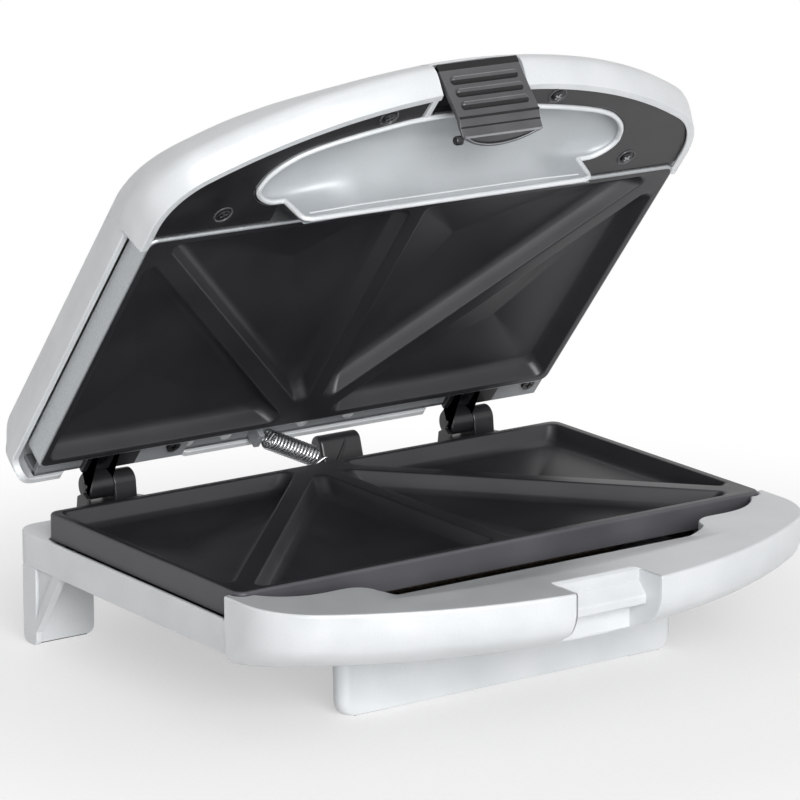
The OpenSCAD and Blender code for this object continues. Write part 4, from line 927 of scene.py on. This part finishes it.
def make_hotplate(name, place, body, node, skirt_finish):
    plate = Piece(name, place)
    pockets = [pocket_rings(t) for t in LEFT_POCKETS + [mirrored(t) for t in LEFT_POCKETS]]
    for rings in pockets:
        n = len(rings[-1])
        x, y = (sum(p[i] for p in rings[-1]) / n for i in (0, 1))
        plate.grid(rings + [[(x, y, -POCKET_DEPTH)] * n], outward=False)
    edge = [plate_ring(1.0 - math.sin(a), math.cos(a) - 1.0) for a in map(math.radians, (0, 20, 40, 60, 80))]
    plate.grid(edge + [plate_ring(0.0, -1.2), plate_ring(0.0, -2.4)], outward=False, finish=1)
    skirt = [(0.0, -2.4), (0.0, -5.0), (0.0, 0.5 - SKIRT), (0.2, 0.1 - SKIRT), (0.6, -SKIRT), (2.2, -SKIRT),
             (2.4, 0.3 - SKIRT), (2.4, -3.0)]
    plate.grid([plate_ring(*level) for level in skirt], outward=False, finish=1)
    loops = [[Vector(p) for p in rings[0]] for rings in [edge] + pockets]
    plate.add([tuple(p) for loop in loops for p in loop], tessellate_polygon(loops), outward=False)
    bmesh.ops.remove_doubles(plate.bm, verts=plate.bm.verts, dist=1e-4)
    bmesh.ops.recalc_face_normals(plate.bm, faces=plate.bm.faces)
    up = max(plate.bm.faces, key=lambda f: f.calc_center_median().z + abs(f.normal.z))
    if up.normal.z < 0:
        bmesh.ops.reverse_faces(plate.bm, faces=plate.bm.faces)
    return plate.done([nonstick, skirt_finish], body, [node])


def on_base_rim(p):
    """A point of the lower hotplate, with z measured up from its rim."""
    return on_base((p[0], p[1], p[2] + RIM_Z))


def on_lid_rim(p):
    """A point of the upper hotplate, which is the same casting turned face down."""
    return on_lid((p[0], p[1], LID_Z - p[2]))


make_hotplate("lower_hotplate_casting", on_base_rim, "base", "lower_hotplate", thin_nonstick)
upper_plate = make_hotplate("upper_hotplate_casting", on_lid_rim, "lid", "upper_hotplate", bare_casting)
upper_plate.data.flip_normals()

# %% [markdown]
# ## Drop tray
# The silver tray under the lid's front is a scoop: a shallow bowl with two round ends, whose
# back runs down into a flat tongue that hangs in the base's trough and catches drips. Its rim
# is a small bead, which shows as a bright line all the way round.

# %% Drop tray
TRAY_EDGE = smooth_table([
    (0, -106.2), (21, -105.3), (33, -103.4), (50, -99.6), (58, -97.2), (64, -94.6), (68, -91.8),
    (71.5, -88.2), (73.6, -84.4), (74.5, -80.0),
])
TRAY_BACK = smooth_table([
    (61.5, -71.6), (66, -71.8), (69.5, -73.2), (72.2, -75.4), (73.8, -77.6), (74.5, -80.0),
])
TRAY_HALF, TRAY_WALL, TRAY_RIM_Z = 74.449, 1.7, 0.8
TONGUE_HALF, TONGUE_SHARE = 61.0, 0.75


def bowl_section(side, share):
    """A section near the scoop's round ends: front rim, bowl, back rim."""
    front, back = TRAY_EDGE(side)[0], TRAY_BACK(max(side, TONGUE_HALF))[0]
    hollow = 5.6 * math.sqrt(max(1 - (max(side - 56.0, 0) / 18.6) ** 2, 0))
    y = front + (back - front) * (0.5 - 0.5 * math.cos(math.pi * share))
    return y, TRAY_RIM_Z + hollow * math.sin(math.pi * share) ** 0.6


def tray_point(x, v):
    """A point of the scoop: v runs from the front rim, over the bowl, to the back or tongue."""
    side = abs(x)
    if side > TONGUE_HALF:
        y, z = bowl_section(side, v)
        return (x, y, LID_Z + z)
    front = TRAY_EDGE(side)[0]
    middle = smooth_table([
        (0.0, front, TRAY_RIM_Z), (0.1, front + 2.2, 4.2), (0.22, front + 6.5, 5.9), (0.36, -92, 6.3),
        (0.52, -85, 4.7), (0.68, -79.2, 1.3), (0.84, -75.6, -4.0), (1.0, -73.9, -10.0),
    ])
    over = max(v - TONGUE_SHARE, 0.0) / (1 - TONGUE_SHARE)
    end_y, end_z = bowl_section(side, min(v / TONGUE_SHARE, 1.0))
    end = (end_y - 2.3 * over, end_z - 10.8 * over)
    y, z = between(middle(v), end, smooth_step(side, 34, TONGUE_HALF))
    return (x * (1 - 0.025 * over), y, LID_Z + z)


def other_side(face):
    """The other side of the tray's wall, as far off along the normals as the wall is thick."""
    back = []
    for i, row in enumerate(face):
        up, down = face[min(i + 1, len(face) - 1)], face[max(i - 1, 0)]
        line = []
        for j, p in enumerate(row):
            along = Vector(up[j]) - Vector(down[j])
            across = Vector(row[min(j + 1, len(row) - 1)]) - Vector(row[max(j - 1, 0)])
            normal = along.cross(across)
            normal = normal.normalized() if normal.length > 1e-9 else Vector((0, 0, 1))
            line.append(tuple(Vector(p) + normal * TRAY_WALL))
        back.append(line)
    return back


def make_drop_tray():
    tray = Piece("scoop_tray", on_lid)
    middle = [-TONGUE_HALF + 2 * TONGUE_HALF * i / 90 for i in range(91)]
    ends = [math.sin(math.pi / 2 * i / 16) for i in range(17)]
    ends = [TONGUE_HALF + 0.001 + (TRAY_HALF - TONGUE_HALF) * f for f in ends]
    left_ends = [-x for x in reversed(ends)]
    for xs in (middle, ends, left_ends):
        face = [[tray_point(x, i / 40) for i in range(41)] for x in xs]
        for sheet in (face, other_side(face)):
            tray.grid(sheet, closed=False, outward=False)
    whole = left_ends + middle[1:-1] + ends
    back_rim = [(x, TRAY_BACK(x)[0], LID_Z + TRAY_RIM_Z) for x in reversed(ends)]
    tip = [tray_point(TONGUE_HALF, v) for v in (0.76, 0.82, 0.88, 0.94)]
    tip.append(tuple(Vector(tray_point(TONGUE_HALF, 0.98)) - Vector((0.5, 0, 0))))
    rim = [tray_point(x, 0.0) for x in whole] + back_rim + tip
    rim += [tray_point(x, 1.0) for x in reversed(middle[2:-2])] + mirrored(tip) + mirrored(back_rim)
    # The beads keep the casing's lighter silver, so they show bright against the bowl's painted shade.
    tray.tube(rim + rim[:1], 0.95, sides=12, caps=False, finish=1)
    for xs, v in ((whole, 0.075), (middle, 0.93)):
        tray.tube([tray_point(x, v) for x in xs[3:-3]], 0.32, finish=1)
    # Slanted bridges from the scoop to the casing beside the latch.
    for side in (-1, 1):
        bridge = [(side * x, y) for x, y in ((17.2, -118.0), (19.3, -118.0), (19.7, -104.9), (17.5, -104.9))]
        tray.prism(bridge, LID_Z + 0.5, LID_Z + 2.2, "z", round_by=0.35, finish=1)
    tray.done([tray_silver_painted_shade, silver_paint], "lid", ["drop_tray"])


make_drop_tray()

# %% [markdown]
# ## Liner and its screws
# A black moulded panel closes the lid's front round the tray. Its screws sit in shallow round
# recesses with a raised ring, and have cross recesses. The rings are a lighter black, which is a
# painted highlight.

# %% Liner and screws
LINER_SCREWS = [(84.0, -68.5), (34.7, -108.5)]
LINER_LOW, LINER_HIGH = LID_Z + 1.0, LID_Z + 3.0


def make_liner():
    liner = Piece("lid_front_panel", on_lid)
    curve = [p for p in plan(3.4, 1.0, 0) if p[0] > 21.0 and p[1] < -61.4]
    outline = [(19.9, -117.2)] + sorted(curve, key=lambda p: p[0] * 0.5 + p[1] * 0.5)
    outline += [(108.2, -61.3), (62.4, -61.3), (62.4, -71.0)]
    outline += [(x, TRAY_BACK(x)[0] + 0.9) for x in (64, 67, 70, 72.6, 74.2)] + [(75.4, -80.0)]
    outline += [(x + 0.5, TRAY_EDGE(x)[0] - 0.8) for x in (74.2, 73, 71, 68, 64, 58, 50, 42, 34, 27, 20.0)]
    # The ring round each screw is in the lighter black: a painted highlight.
    ring = [(0.1, 3.7), (-0.3, 3.55), (-0.35, 3.25), (-0.1, 3.0), (0.05, 2.9)]
    for side in (-1, 1):
        liner.prism([(side * x, y) for x, y in outline], LINER_LOW, LINER_HIGH, "z", round_by=0.3)
        for x, y in LINER_SCREWS:
            liner.turned((side * x, y, LINER_LOW), "z", ring, finish=1)
    liner.block((-16, 16), (-107.8, -106.9), (LINER_LOW, LINER_HIGH))
    liner.done([black_nylon, screw_ring_highlight_black], "lid", ["lid_liner"])


def add_cross_screw(piece, x, y, z, r, out, spin):
    """A low domed screw head; the cross recess shows as two bright slots in the second finish."""
    dome = [(out * r * up, r * wide) for up, wide in ((0, 0.98), (0.18, 1), (0.34, 0.86), (0.42, 0.55))]
    piece.turned((x, y, z), "z", dome + [(out * r * 0.44, 0.02)], sides=28)
    top = z + out * r * 0.40
    for turn in (spin, spin + math.pi / 2):
        c, s = math.cos(turn), math.sin(turn)
        arm = ((-0.62, -0.11), (0.62, -0.11), (0.62, 0.11), (-0.62, 0.11))
        slot = [(x + r * (u * c - v * s), y + r * (u * s + v * c)) for u, v in arm]
        piece.prism(slot, top, top + out * r * 0.06, "z", finish=1)


def make_liner_screws():
    screws = Piece("panel_screws", on_lid)
    for side in (-1, 1):
        for x, y in LINER_SCREWS:
            add_cross_screw(screws, side * x, y, LINER_LOW, 2.3, -0.7, 0.5 * side)
    screws.done([black_steel, zinc_steel], "lid", ["liner_screws"])


make_liner()
make_liner_screws()

# %% [markdown]
# ## Latch
# The latch is a charcoal lever that hangs from a pin in the lid's front and snaps under the
# keeper. Its face has three raised finger ribs with round ends, then a bend, a lighter band,
# and a crescent hook with a raised lip.

# %% Latch
LATCH_HALF, LATCH_TOP = 16.5, 60.8
BEND_Z, HOOK_Z = 40.9, 34.9
HOOK_TIP, HOOK_ROOT = -107.6, -113.6
# Places in the latch's list of finishes.
PAINTED_SHADE, STEEL, PAINTED_HIGHLIGHT = 1, 2, 3


def face_y(z):
    """The slanting face of the lever at height z."""
    return -121.8 + (62.6 - z) * 0.2


def add_hook(latch):
    """Crescent hook, with a raised lip along its curved edge, lighter bars for painted highlights and a
    near-black bar for painted shade in the groove.
    """
    deep = HOOK_TIP - HOOK_ROOT
    r = (LATCH_HALF**2 + deep**2) / (2 * deep)
    curve = [-LATCH_HALF + 2 * LATCH_HALF * i / 28 for i in range(29)]
    curve = [(x, HOOK_TIP - r + math.sqrt(r * r - x * x)) for x in curve]
    back = [(LATCH_HALF, HOOK_ROOT - 0.6), (-LATCH_HALF, HOOK_ROOT - 0.6)]
    latch.prism(curve + back, HOOK_Z + 0.5, HOOK_Z + 1.8, "z", round_by=0.3)
    latch.tube([(x * 0.97, y - 0.5, HOOK_Z + 0.5) for x, y in curve], 0.5, sides=10)
    # A thin lighter bar on the lip is a painted highlight.
    latch.tube([(x * 0.95, y - 0.95, HOOK_Z + 0.25) for x, y in curve], 0.25, finish=PAINTED_HIGHLIGHT)
    # A near-black bar inside the lip is painted shade in the groove.
    groove = [(x * 0.9, HOOK_ROOT + (y - HOOK_ROOT) * 0.72, HOOK_Z + 0.5) for x, y in curve]
    latch.tube(groove, 0.35, finish=PAINTED_SHADE)
    # A lighter bar along the hook's root is a painted highlight.
    root = [(x, HOOK_ROOT - 0.1, HOOK_Z + 0.4) for x in (-16.0, -8, 0, 8, 16.0)]
    latch.tube(root, 0.45, sides=10, finish=PAINTED_HIGHLIGHT)
    peg = [(0, 1.6), (-2.0, 1.6), (-2.5, 1.3), (-2.7, 0.05)]
    latch.turned((-16.2, -112.2, HOOK_Z + 0.9), "x", peg, finish=STEEL, sides=12)


def make_latch():
    latch = Piece("latch_lever", on_lid)
    blade = [
        (face_y(LATCH_TOP), LATCH_TOP), (face_y(BEND_Z), BEND_Z), (-115.4, 38.4), (-114.2, 35.7),
        (-112.2, 35.3), (-113.7, 37.2), (-114.0, 38.9), (face_y(41.5) + 2.1, 41.5),
        (face_y(58.0) + 2.2, 58.0), (face_y(58.0) + 2.8, LATCH_TOP),
    ]
    latch.prism(blade, -LATCH_HALF, LATCH_HALF, round_by=0.4)
    for side in (-1, 1):
        barrel = [(0, 2.2), (-side * 0.3, 2.5), (-side * 10.2, 2.5), (-side * 10.2, 1.8)]
        latch.turned((side * (LATCH_HALF - 0.3), -117.0, 58.2), "x", barrel)
    rib = [(-13.6, 0.05), (-13.4, 0.6), (-13.0, 0.95), (-12.4, 1.1)]
    rib += mirrored(rib)
    # Behind and below each rib sits a larger copy in the near-black: painted shade along the rib's lower
    # side.
    shade = [(a * 1.01, r * 1.05) for a, r in rib]
    for z in (54.9, 50.2, 45.4):
        y = face_y(z)
        latch.turned((0, y - 0.1, z), "x", rib, sides=20)
        latch.turned((0, y + 0.3, z - 0.75), "x", shade, finish=PAINTED_SHADE, sides=20)
        # A thin lighter bar along the rib's top is a painted highlight.
        latch.tube([(x, y - 0.95, z + 0.55) for x in (-12.6, -6, 0, 6, 12.6)], 0.2, finish=PAINTED_HIGHLIGHT)
    # Painted shade: near-black lines in the creases at the bends.
    for y, z in ((face_y(BEND_Z) + 0.12, BEND_Z), (-115.15, 38.4)):
        latch.tube([(x, y, z) for x in (-16.3, -8, 0, 8, 16.3)], 0.42, sides=10, finish=PAINTED_SHADE)
    add_hook(latch)
    # Cap over the pin in the near-black: painted shade where the latch's top sits in the lid's well.
    high, low = LATCH_TOP + 0.35, 58.6
    cap = [(face_y(LATCH_TOP) - 0.2, high), (face_y(low) - 0.2, low), (face_y(low) + 1.6, low),
           (face_y(LATCH_TOP) + 2.9, high)]
    latch.prism(cap, -LATCH_HALF, LATCH_HALF, round_by=0.25, finish=PAINTED_SHADE)
    finishes = [latch_plastic, painted_shade_black, black_steel, painted_highlight_charcoal]
    latch.done(finishes, "latch", ["latch"])


make_latch()

# %% [markdown]
# ## Hinges, wiring cover and hinge frame
# The hinges are black mouldings on a steel pin. The lid's half is an arm that ends in a round
# knuckle; the base's half has a knuckle beside it, a low lug outside and a flared foot.

# %% Hinges and wiring cover
KNUCKLE_R = 4.7


def knuckle(r, tangents):
    """A round knuckle on the hinge line and the web that leaves it, as one outline in (y, z)."""
    hinge = (HINGE_Y, HINGE_Z)
    angles = [math.degrees(math.atan2(z - HINGE_Z, y - HINGE_Y)) for y, z in tangents]
    swings = [math.degrees(math.acos(min(r / math.dist(hinge, p), 1))) for p in tangents]
    start, stop = angles[0] + swings[0], angles[1] - swings[1]
    while stop < start:
        stop += 360
    return [tangents[0]] + arc(*hinge, r, start, stop, 24) + [tangents[1]]


def make_base_hinge(name, x, node):
    hinge = Piece(name, on_base)
    web = knuckle(KNUCKLE_R, [(HINGE_Y + 4.2, RAIL_TOP), (HINGE_Y - 5.9, RAIL_TOP)])
    hinge.prism(web, x - 1.7, x + 7.4, round_by=0.6)
    lug = [(-6.0, RAIL_TOP), (3.6, RAIL_TOP), (2.6, 47.5), (-1.5, 49.6), (-4.4, 47.8)]
    hinge.prism([(HINGE_Y + y, z) for y, z in lug], x - 12.9, x - 11.3, round_by=0.4)
    saddle = [(-5.4, RAIL_TOP), (3.6, RAIL_TOP), (3.2, 45.6), (-4.6, 45.6)]
    hinge.prism([(HINGE_Y + y, z) for y, z in saddle], x - 12.0, x, round_by=0.5)
    flare = [(6.0, RAIL_TOP), (17.5, RAIL_TOP), (17.5, RAIL_TOP + 2.5), (13.6, RAIL_TOP + 3.6), (8.6, 45.6),
             (6.0, 46.6)]
    hinge.prism([(x + u, z) for u, z in flare], HINGE_Y - 3.4, HINGE_Y + 2.2, "y", round_by=0.6)
    hinge.block((x - 18, x + 17.5), (HINGE_Y - 8.6, 78.6), (RAIL_TOP, RAIL_TOP + 2.3), round_by=0.6)
    hinge.done([black_nylon], "base", [node])


def make_lid_hinge(name, x, node):
    hinge = Piece(name, on_lid)
    web = knuckle(KNUCKLE_R, [(73.6, FRAME_Z - 0.2), (64.8, FRAME_Z - 1.6)])
    hinge.prism(web, x - 11.0, x - 1.9, round_by=0.6)
    for near, far, finish in ((-13.0, 9.0, 0), (8.6, 29, 1)):
        plate = ((x + near, x + far), (62.1, 72.2), (FRAME_Z - 2.0, FRAME_Z))
        hinge.block(*plate, round_by=0.5, finish=finish)
    hinge.done([black_nylon, grey_plastic], "lid", [node])


def make_hinge_rod(name, x, node):
    """The steel pin that both halves of a hinge turn on, with chamfered ends."""
    rod = Piece(name, on_base)
    rod.turned((x - 11.6, HINGE_Y, HINGE_Z), "x", [(0, 1.2), (0.4, 1.6), (19.2, 1.6), (19.6, 1.2)])
    rod.done([black_steel], "base", [node])


def make_wiring_cover():
    cover = Piece("wiring_guard", on_base)
    web = knuckle(3.6, [(HINGE_Y + 3.2, RAIL_TOP), (HINGE_Y - 7.1, RAIL_TOP)])
    cover.prism(web, 13.6, 31.5, round_by=1.2, steps=5)
    cover.block((13.5, 35.0), (HINGE_Y - 8.1, HINGE_Y + 3.2), (RAIL_TOP, RAIL_TOP + 2.5), round_by=0.8)
    cover.tube([(18.5, HINGE_Y - 6.0, 44.4), (23.5, HINGE_Y - 3.9, 50.8), (25.0, HINGE_Y - 2.5, 53.2)], 0.55)
    cover.done([black_nylon], "base", ["wiring_cover"])


def make_hinge_frame():
    strip = Piece("hinge_frame_strip", on_lid)
    long = (-104.6, 104.6)
    strip.block(long, (61.1, 72.3), (FRAME_Z, FRAME_Z + 2.2), round_by=0.4)
    strip.block(long, (70.3, 72.3), (FRAME_Z, 64.5), round_by=0.4)
    stud = [(0, 2.5), (-0.7, 2.4), (-1.2, 1.8), (-1.4, 0.05)]
    for x in (-43, -27, 6, 26):
        strip.turned((x, 66.7, FRAME_Z + 0.2), "z", stud, finish=1)
    strip.block((-16.5, -14.0), (63.4, 70.2), (50.4, FRAME_Z + 0.1), round_by=0.4)
    strip.done([grey_plastic, pale_plastic], "lid", ["lid_rear_frame"])


for side_name, hinge_x in (("left", -73.2), ("right", 83.0)):
    make_base_hinge(side_name + "_base_hinge_moulding", hinge_x, side_name + "_base_hinge")
    make_lid_hinge(side_name + "_lid_hinge_moulding", hinge_x, side_name + "_lid_hinge")
    make_hinge_rod(side_name + "_hinge_rod", hinge_x, side_name + "_hinge_pin")
make_wiring_cover()
make_hinge_frame()

# %% [markdown]
# ## Front foot
# The front foot is a moulded bar that hangs below the round front and tapers a little, so it
# leaves the mould. Its bottom corners are well rounded.

# %% Front foot
FOOT_Y = -58.0


def make_front_foot():
    foot = Piece("front_foot_bar", on_base)
    levels = [(28.6, 70.5, 4.0), (20.0, 70.3, 3.9), (12.0, 70.1, 3.8), (5.0, 69.9, 3.65)]
    for f in (i / 8 for i in range(1, 9)):
        a = math.pi / 2 * f
        levels.append((5.0 - 4.85 * math.sin(a), 69.9 - 4.0 * (1 - math.cos(a)), 3.65 - 0.4 * f**3))
    foot.grid([round_ring(w, d, d - 0.2, z, FOOT_Y) for z, w, d in levels], caps=True)
    foot.done([silver_paint], "base", ["front_foot"])


make_front_foot()

# %% [markdown]
# ## Wire guard spring
# The wires to the upper heater pass through a coil of bright spring wire, which bends as the
# lid moves. It is one bar wound on a helix from a point on the open lid to a point on the base.

# %% Wire guard spring
COIL_TURNS, COIL_R, WIRE_R, COIL_MARGIN = 15, 3.3, 0.55, 3.4


def make_spring():
    spring = Piece("wire_guard_coil", on_base)
    top = on_lid((-14.0, 66.8, 52.75)) * 1000
    top.y += SHIFT_Y
    end = Vector((13.5, 72.8, 47.0))
    axis = end - top
    along = axis.normalized()
    side = along.cross(Vector((0, 0, 1))).normalized()
    rise = side.cross(along)
    steps = COIL_TURNS * 24
    path = []
    for i in range(steps + 1):
        a = 2 * math.pi * i / 24
        f = COIL_MARGIN + (axis.length - 2 * COIL_MARGIN) * i / steps
        path.append(top + along * f + side * (COIL_R * math.cos(a)) + rise * (COIL_R * math.sin(a)))
    start = Vector((-13.7, path[0].y, path[0].z))
    stop = Vector((13.2, path[-1].y, path[-1].z))
    straight = Vector((0.9, 0, 0))
    path = [start, start + straight] + path[3:-3] + [stop - straight, stop]
    spring.tube([tuple(p) for p in path], WIRE_R, sides=12)
    ends = ("base", "lid", on_base(end), on_base(top))
    spring.done([spring_steel], ends, ["wire_guard_spring"])


make_spring()

# %% [markdown]
# ## Floor, light and camera
# A plain white floor, soft studio light and a long lens. The camera's place was solved from
# the straight edges of the hotplates.

# %% Camera
camera_data = bpy.data.cameras.new("camera")
camera = bpy.data.objects.new("camera", camera_data)
bpy.context.scene.collection.objects.link(camera)
bpy.context.scene.camera = camera
camera_data.sensor_width = 36.0
camera_data.lens = 209.57
camera_data.clip_start = 0.05
camera_data.clip_end = 50.0
CAM_AZ = math.radians(-35.08)
CAM_EL = math.radians(14.32)
right = Vector((math.cos(CAM_AZ), math.sin(CAM_AZ), 0))
ahead = Vector((-math.sin(CAM_AZ) * math.cos(CAM_EL), math.cos(CAM_AZ) * math.cos(CAM_EL), -math.sin(CAM_EL)))
pose = Matrix((right, right.cross(ahead), -ahead)).transposed().to_4x4()
pose.translation = on_base((-900.9, -1278.5, 485.6))
camera.matrix_world = pose
print("camera at", [round(v, 3) for v in pose.translation])

# %% [markdown]
# The floor is white card that curves up behind. Close to the toaster it keeps the shadows of
# the feet; farther off it fades to plain white, as in a catalogue picture. The light is a
# large soft panel low at the front left, with a weak panel overhead, inside a pale room.

# %% Floor, world and lamps
WHITE = linear("#FFFFFF")


def seen_directly(tree):
    """1 for what the lens, a reflection or a clear lens shows, 0 for light that bounces."""
    rays = add_node(tree, "ShaderNodeLightPath")
    first = math_node(tree, "MAXIMUM", rays.outputs["Is Camera Ray"], rays.outputs["Is Glossy Ray"])
    return math_node(tree, "MAXIMUM", first, rays.outputs["Is Transmission Ray"])


def make_floor_card():
    material, tree, shader = new_material("white_studio_card", {"Roughness": 0.9})
    colour_from(tree, shader, grain(tree, 1.5, 2.0), "#F0F0F0", "#F6F6F6")
    glow = add_node(tree, "ShaderNodeEmission", {"Color": WHITE, "Strength": 1.0})
    place = add_node(tree, "ShaderNodeTexCoord")
    away = add_node(tree, "ShaderNodeVectorMath", operation="LENGTH", links={0: place.outputs["Object"]})
    share = add_node(
        tree, "ShaderNodeMapRange", {"From Min": 0.1, "From Max": 0.32, "To Min": 0.5, "To Max": 1.0},
        {"Value": away.outputs["Value"]}, interpolation_type="SMOOTHSTEP",
    )
    shown = math_node(tree, "MULTIPLY", share.outputs["Result"], seen_directly(tree))
    mixed = add_node(tree, "ShaderNodeMixShader", links={
        0: shown, 1: shader.outputs["BSDF"], 2: glow.outputs["Emission"]})
    output = next(n for n in tree.nodes if n.type == "OUTPUT_MATERIAL")
    tree.links.new(mixed.outputs[0], output.inputs["Surface"])
    return material


def make_floor():
    half, rows, flat_to = 6.0, 24, 2.2
    verts = []
    for y in (-half + 2 * half * i / rows for i in range(rows + 1)):
        z = (y - flat_to) ** 2 * 0.6 if y > flat_to else 0.0
        verts += [(-half, y, z), (half, y, z)]
    faces = [(2 * i, 2 * i + 1, 2 * i + 3, 2 * i + 2) for i in range(rows)]
    mesh = bpy.data.meshes.new("studio_floor")
    mesh.from_pydata(verts, [], faces)
    mesh.materials.append(make_floor_card())
    floor = bpy.data.objects.new("studio_floor", mesh)
    bpy.context.scene.collection.objects.link(floor)


def add_lamp(name, place, target, size, watts):
    data = bpy.data.lights.new(name, "AREA")
    data.shape = "RECTANGLE"
    data.size, data.size_y = size
    data.energy = watts
    lamp = bpy.data.objects.new(name, data)
    bpy.context.scene.collection.objects.link(lamp)
    lamp.location = place
    lamp.rotation_euler = (Vector(target) - Vector(place)).to_track_quat("-Z", "Y").to_euler()
    lamp.visible_camera = False


def make_world():
    world = bpy.data.worlds.new("pale_room")
    bpy.context.scene.world = world
    world.use_nodes = True
    room = world.node_tree
    room.nodes.clear()
    place = add_node(room, "ShaderNodeTexCoord")
    height = add_node(room, "ShaderNodeSeparateXYZ", links={"Vector": place.outputs["Generated"]})
    level = add_node(
        room, "ShaderNodeMapRange", {"From Min": 0.05, "From Max": 0.8, "To Min": 0.3, "To Max": 0.17},
        {"Value": height.outputs["Z"]},
    )
    walls = add_node(room, "ShaderNodeBackground", {"Color": WHITE}, {"Strength": level.outputs["Result"]})
    backdrop = add_node(room, "ShaderNodeBackground", {"Color": WHITE, "Strength": 1.0})
    shown = add_node(room, "ShaderNodeMixShader", links={
        0: seen_directly(room), 1: walls.outputs["Background"], 2: backdrop.outputs["Background"]})
    add_node(room, "ShaderNodeOutputWorld", links={"Surface": shown.outputs[0]})


make_floor()
make_world()
add_lamp("front_left_softbox", (-0.75, -2.15, 0.85), (0, 0, 0.1), (1.5, 1.2), 68)
add_lamp("overhead_softbox", (0.1, 0.1, 1.6), (0, 0, 0), (1.6, 1.6), 3)
bpy.context.scene.view_settings.view_transform = "Standard"
print("floor, world and lamps are set")
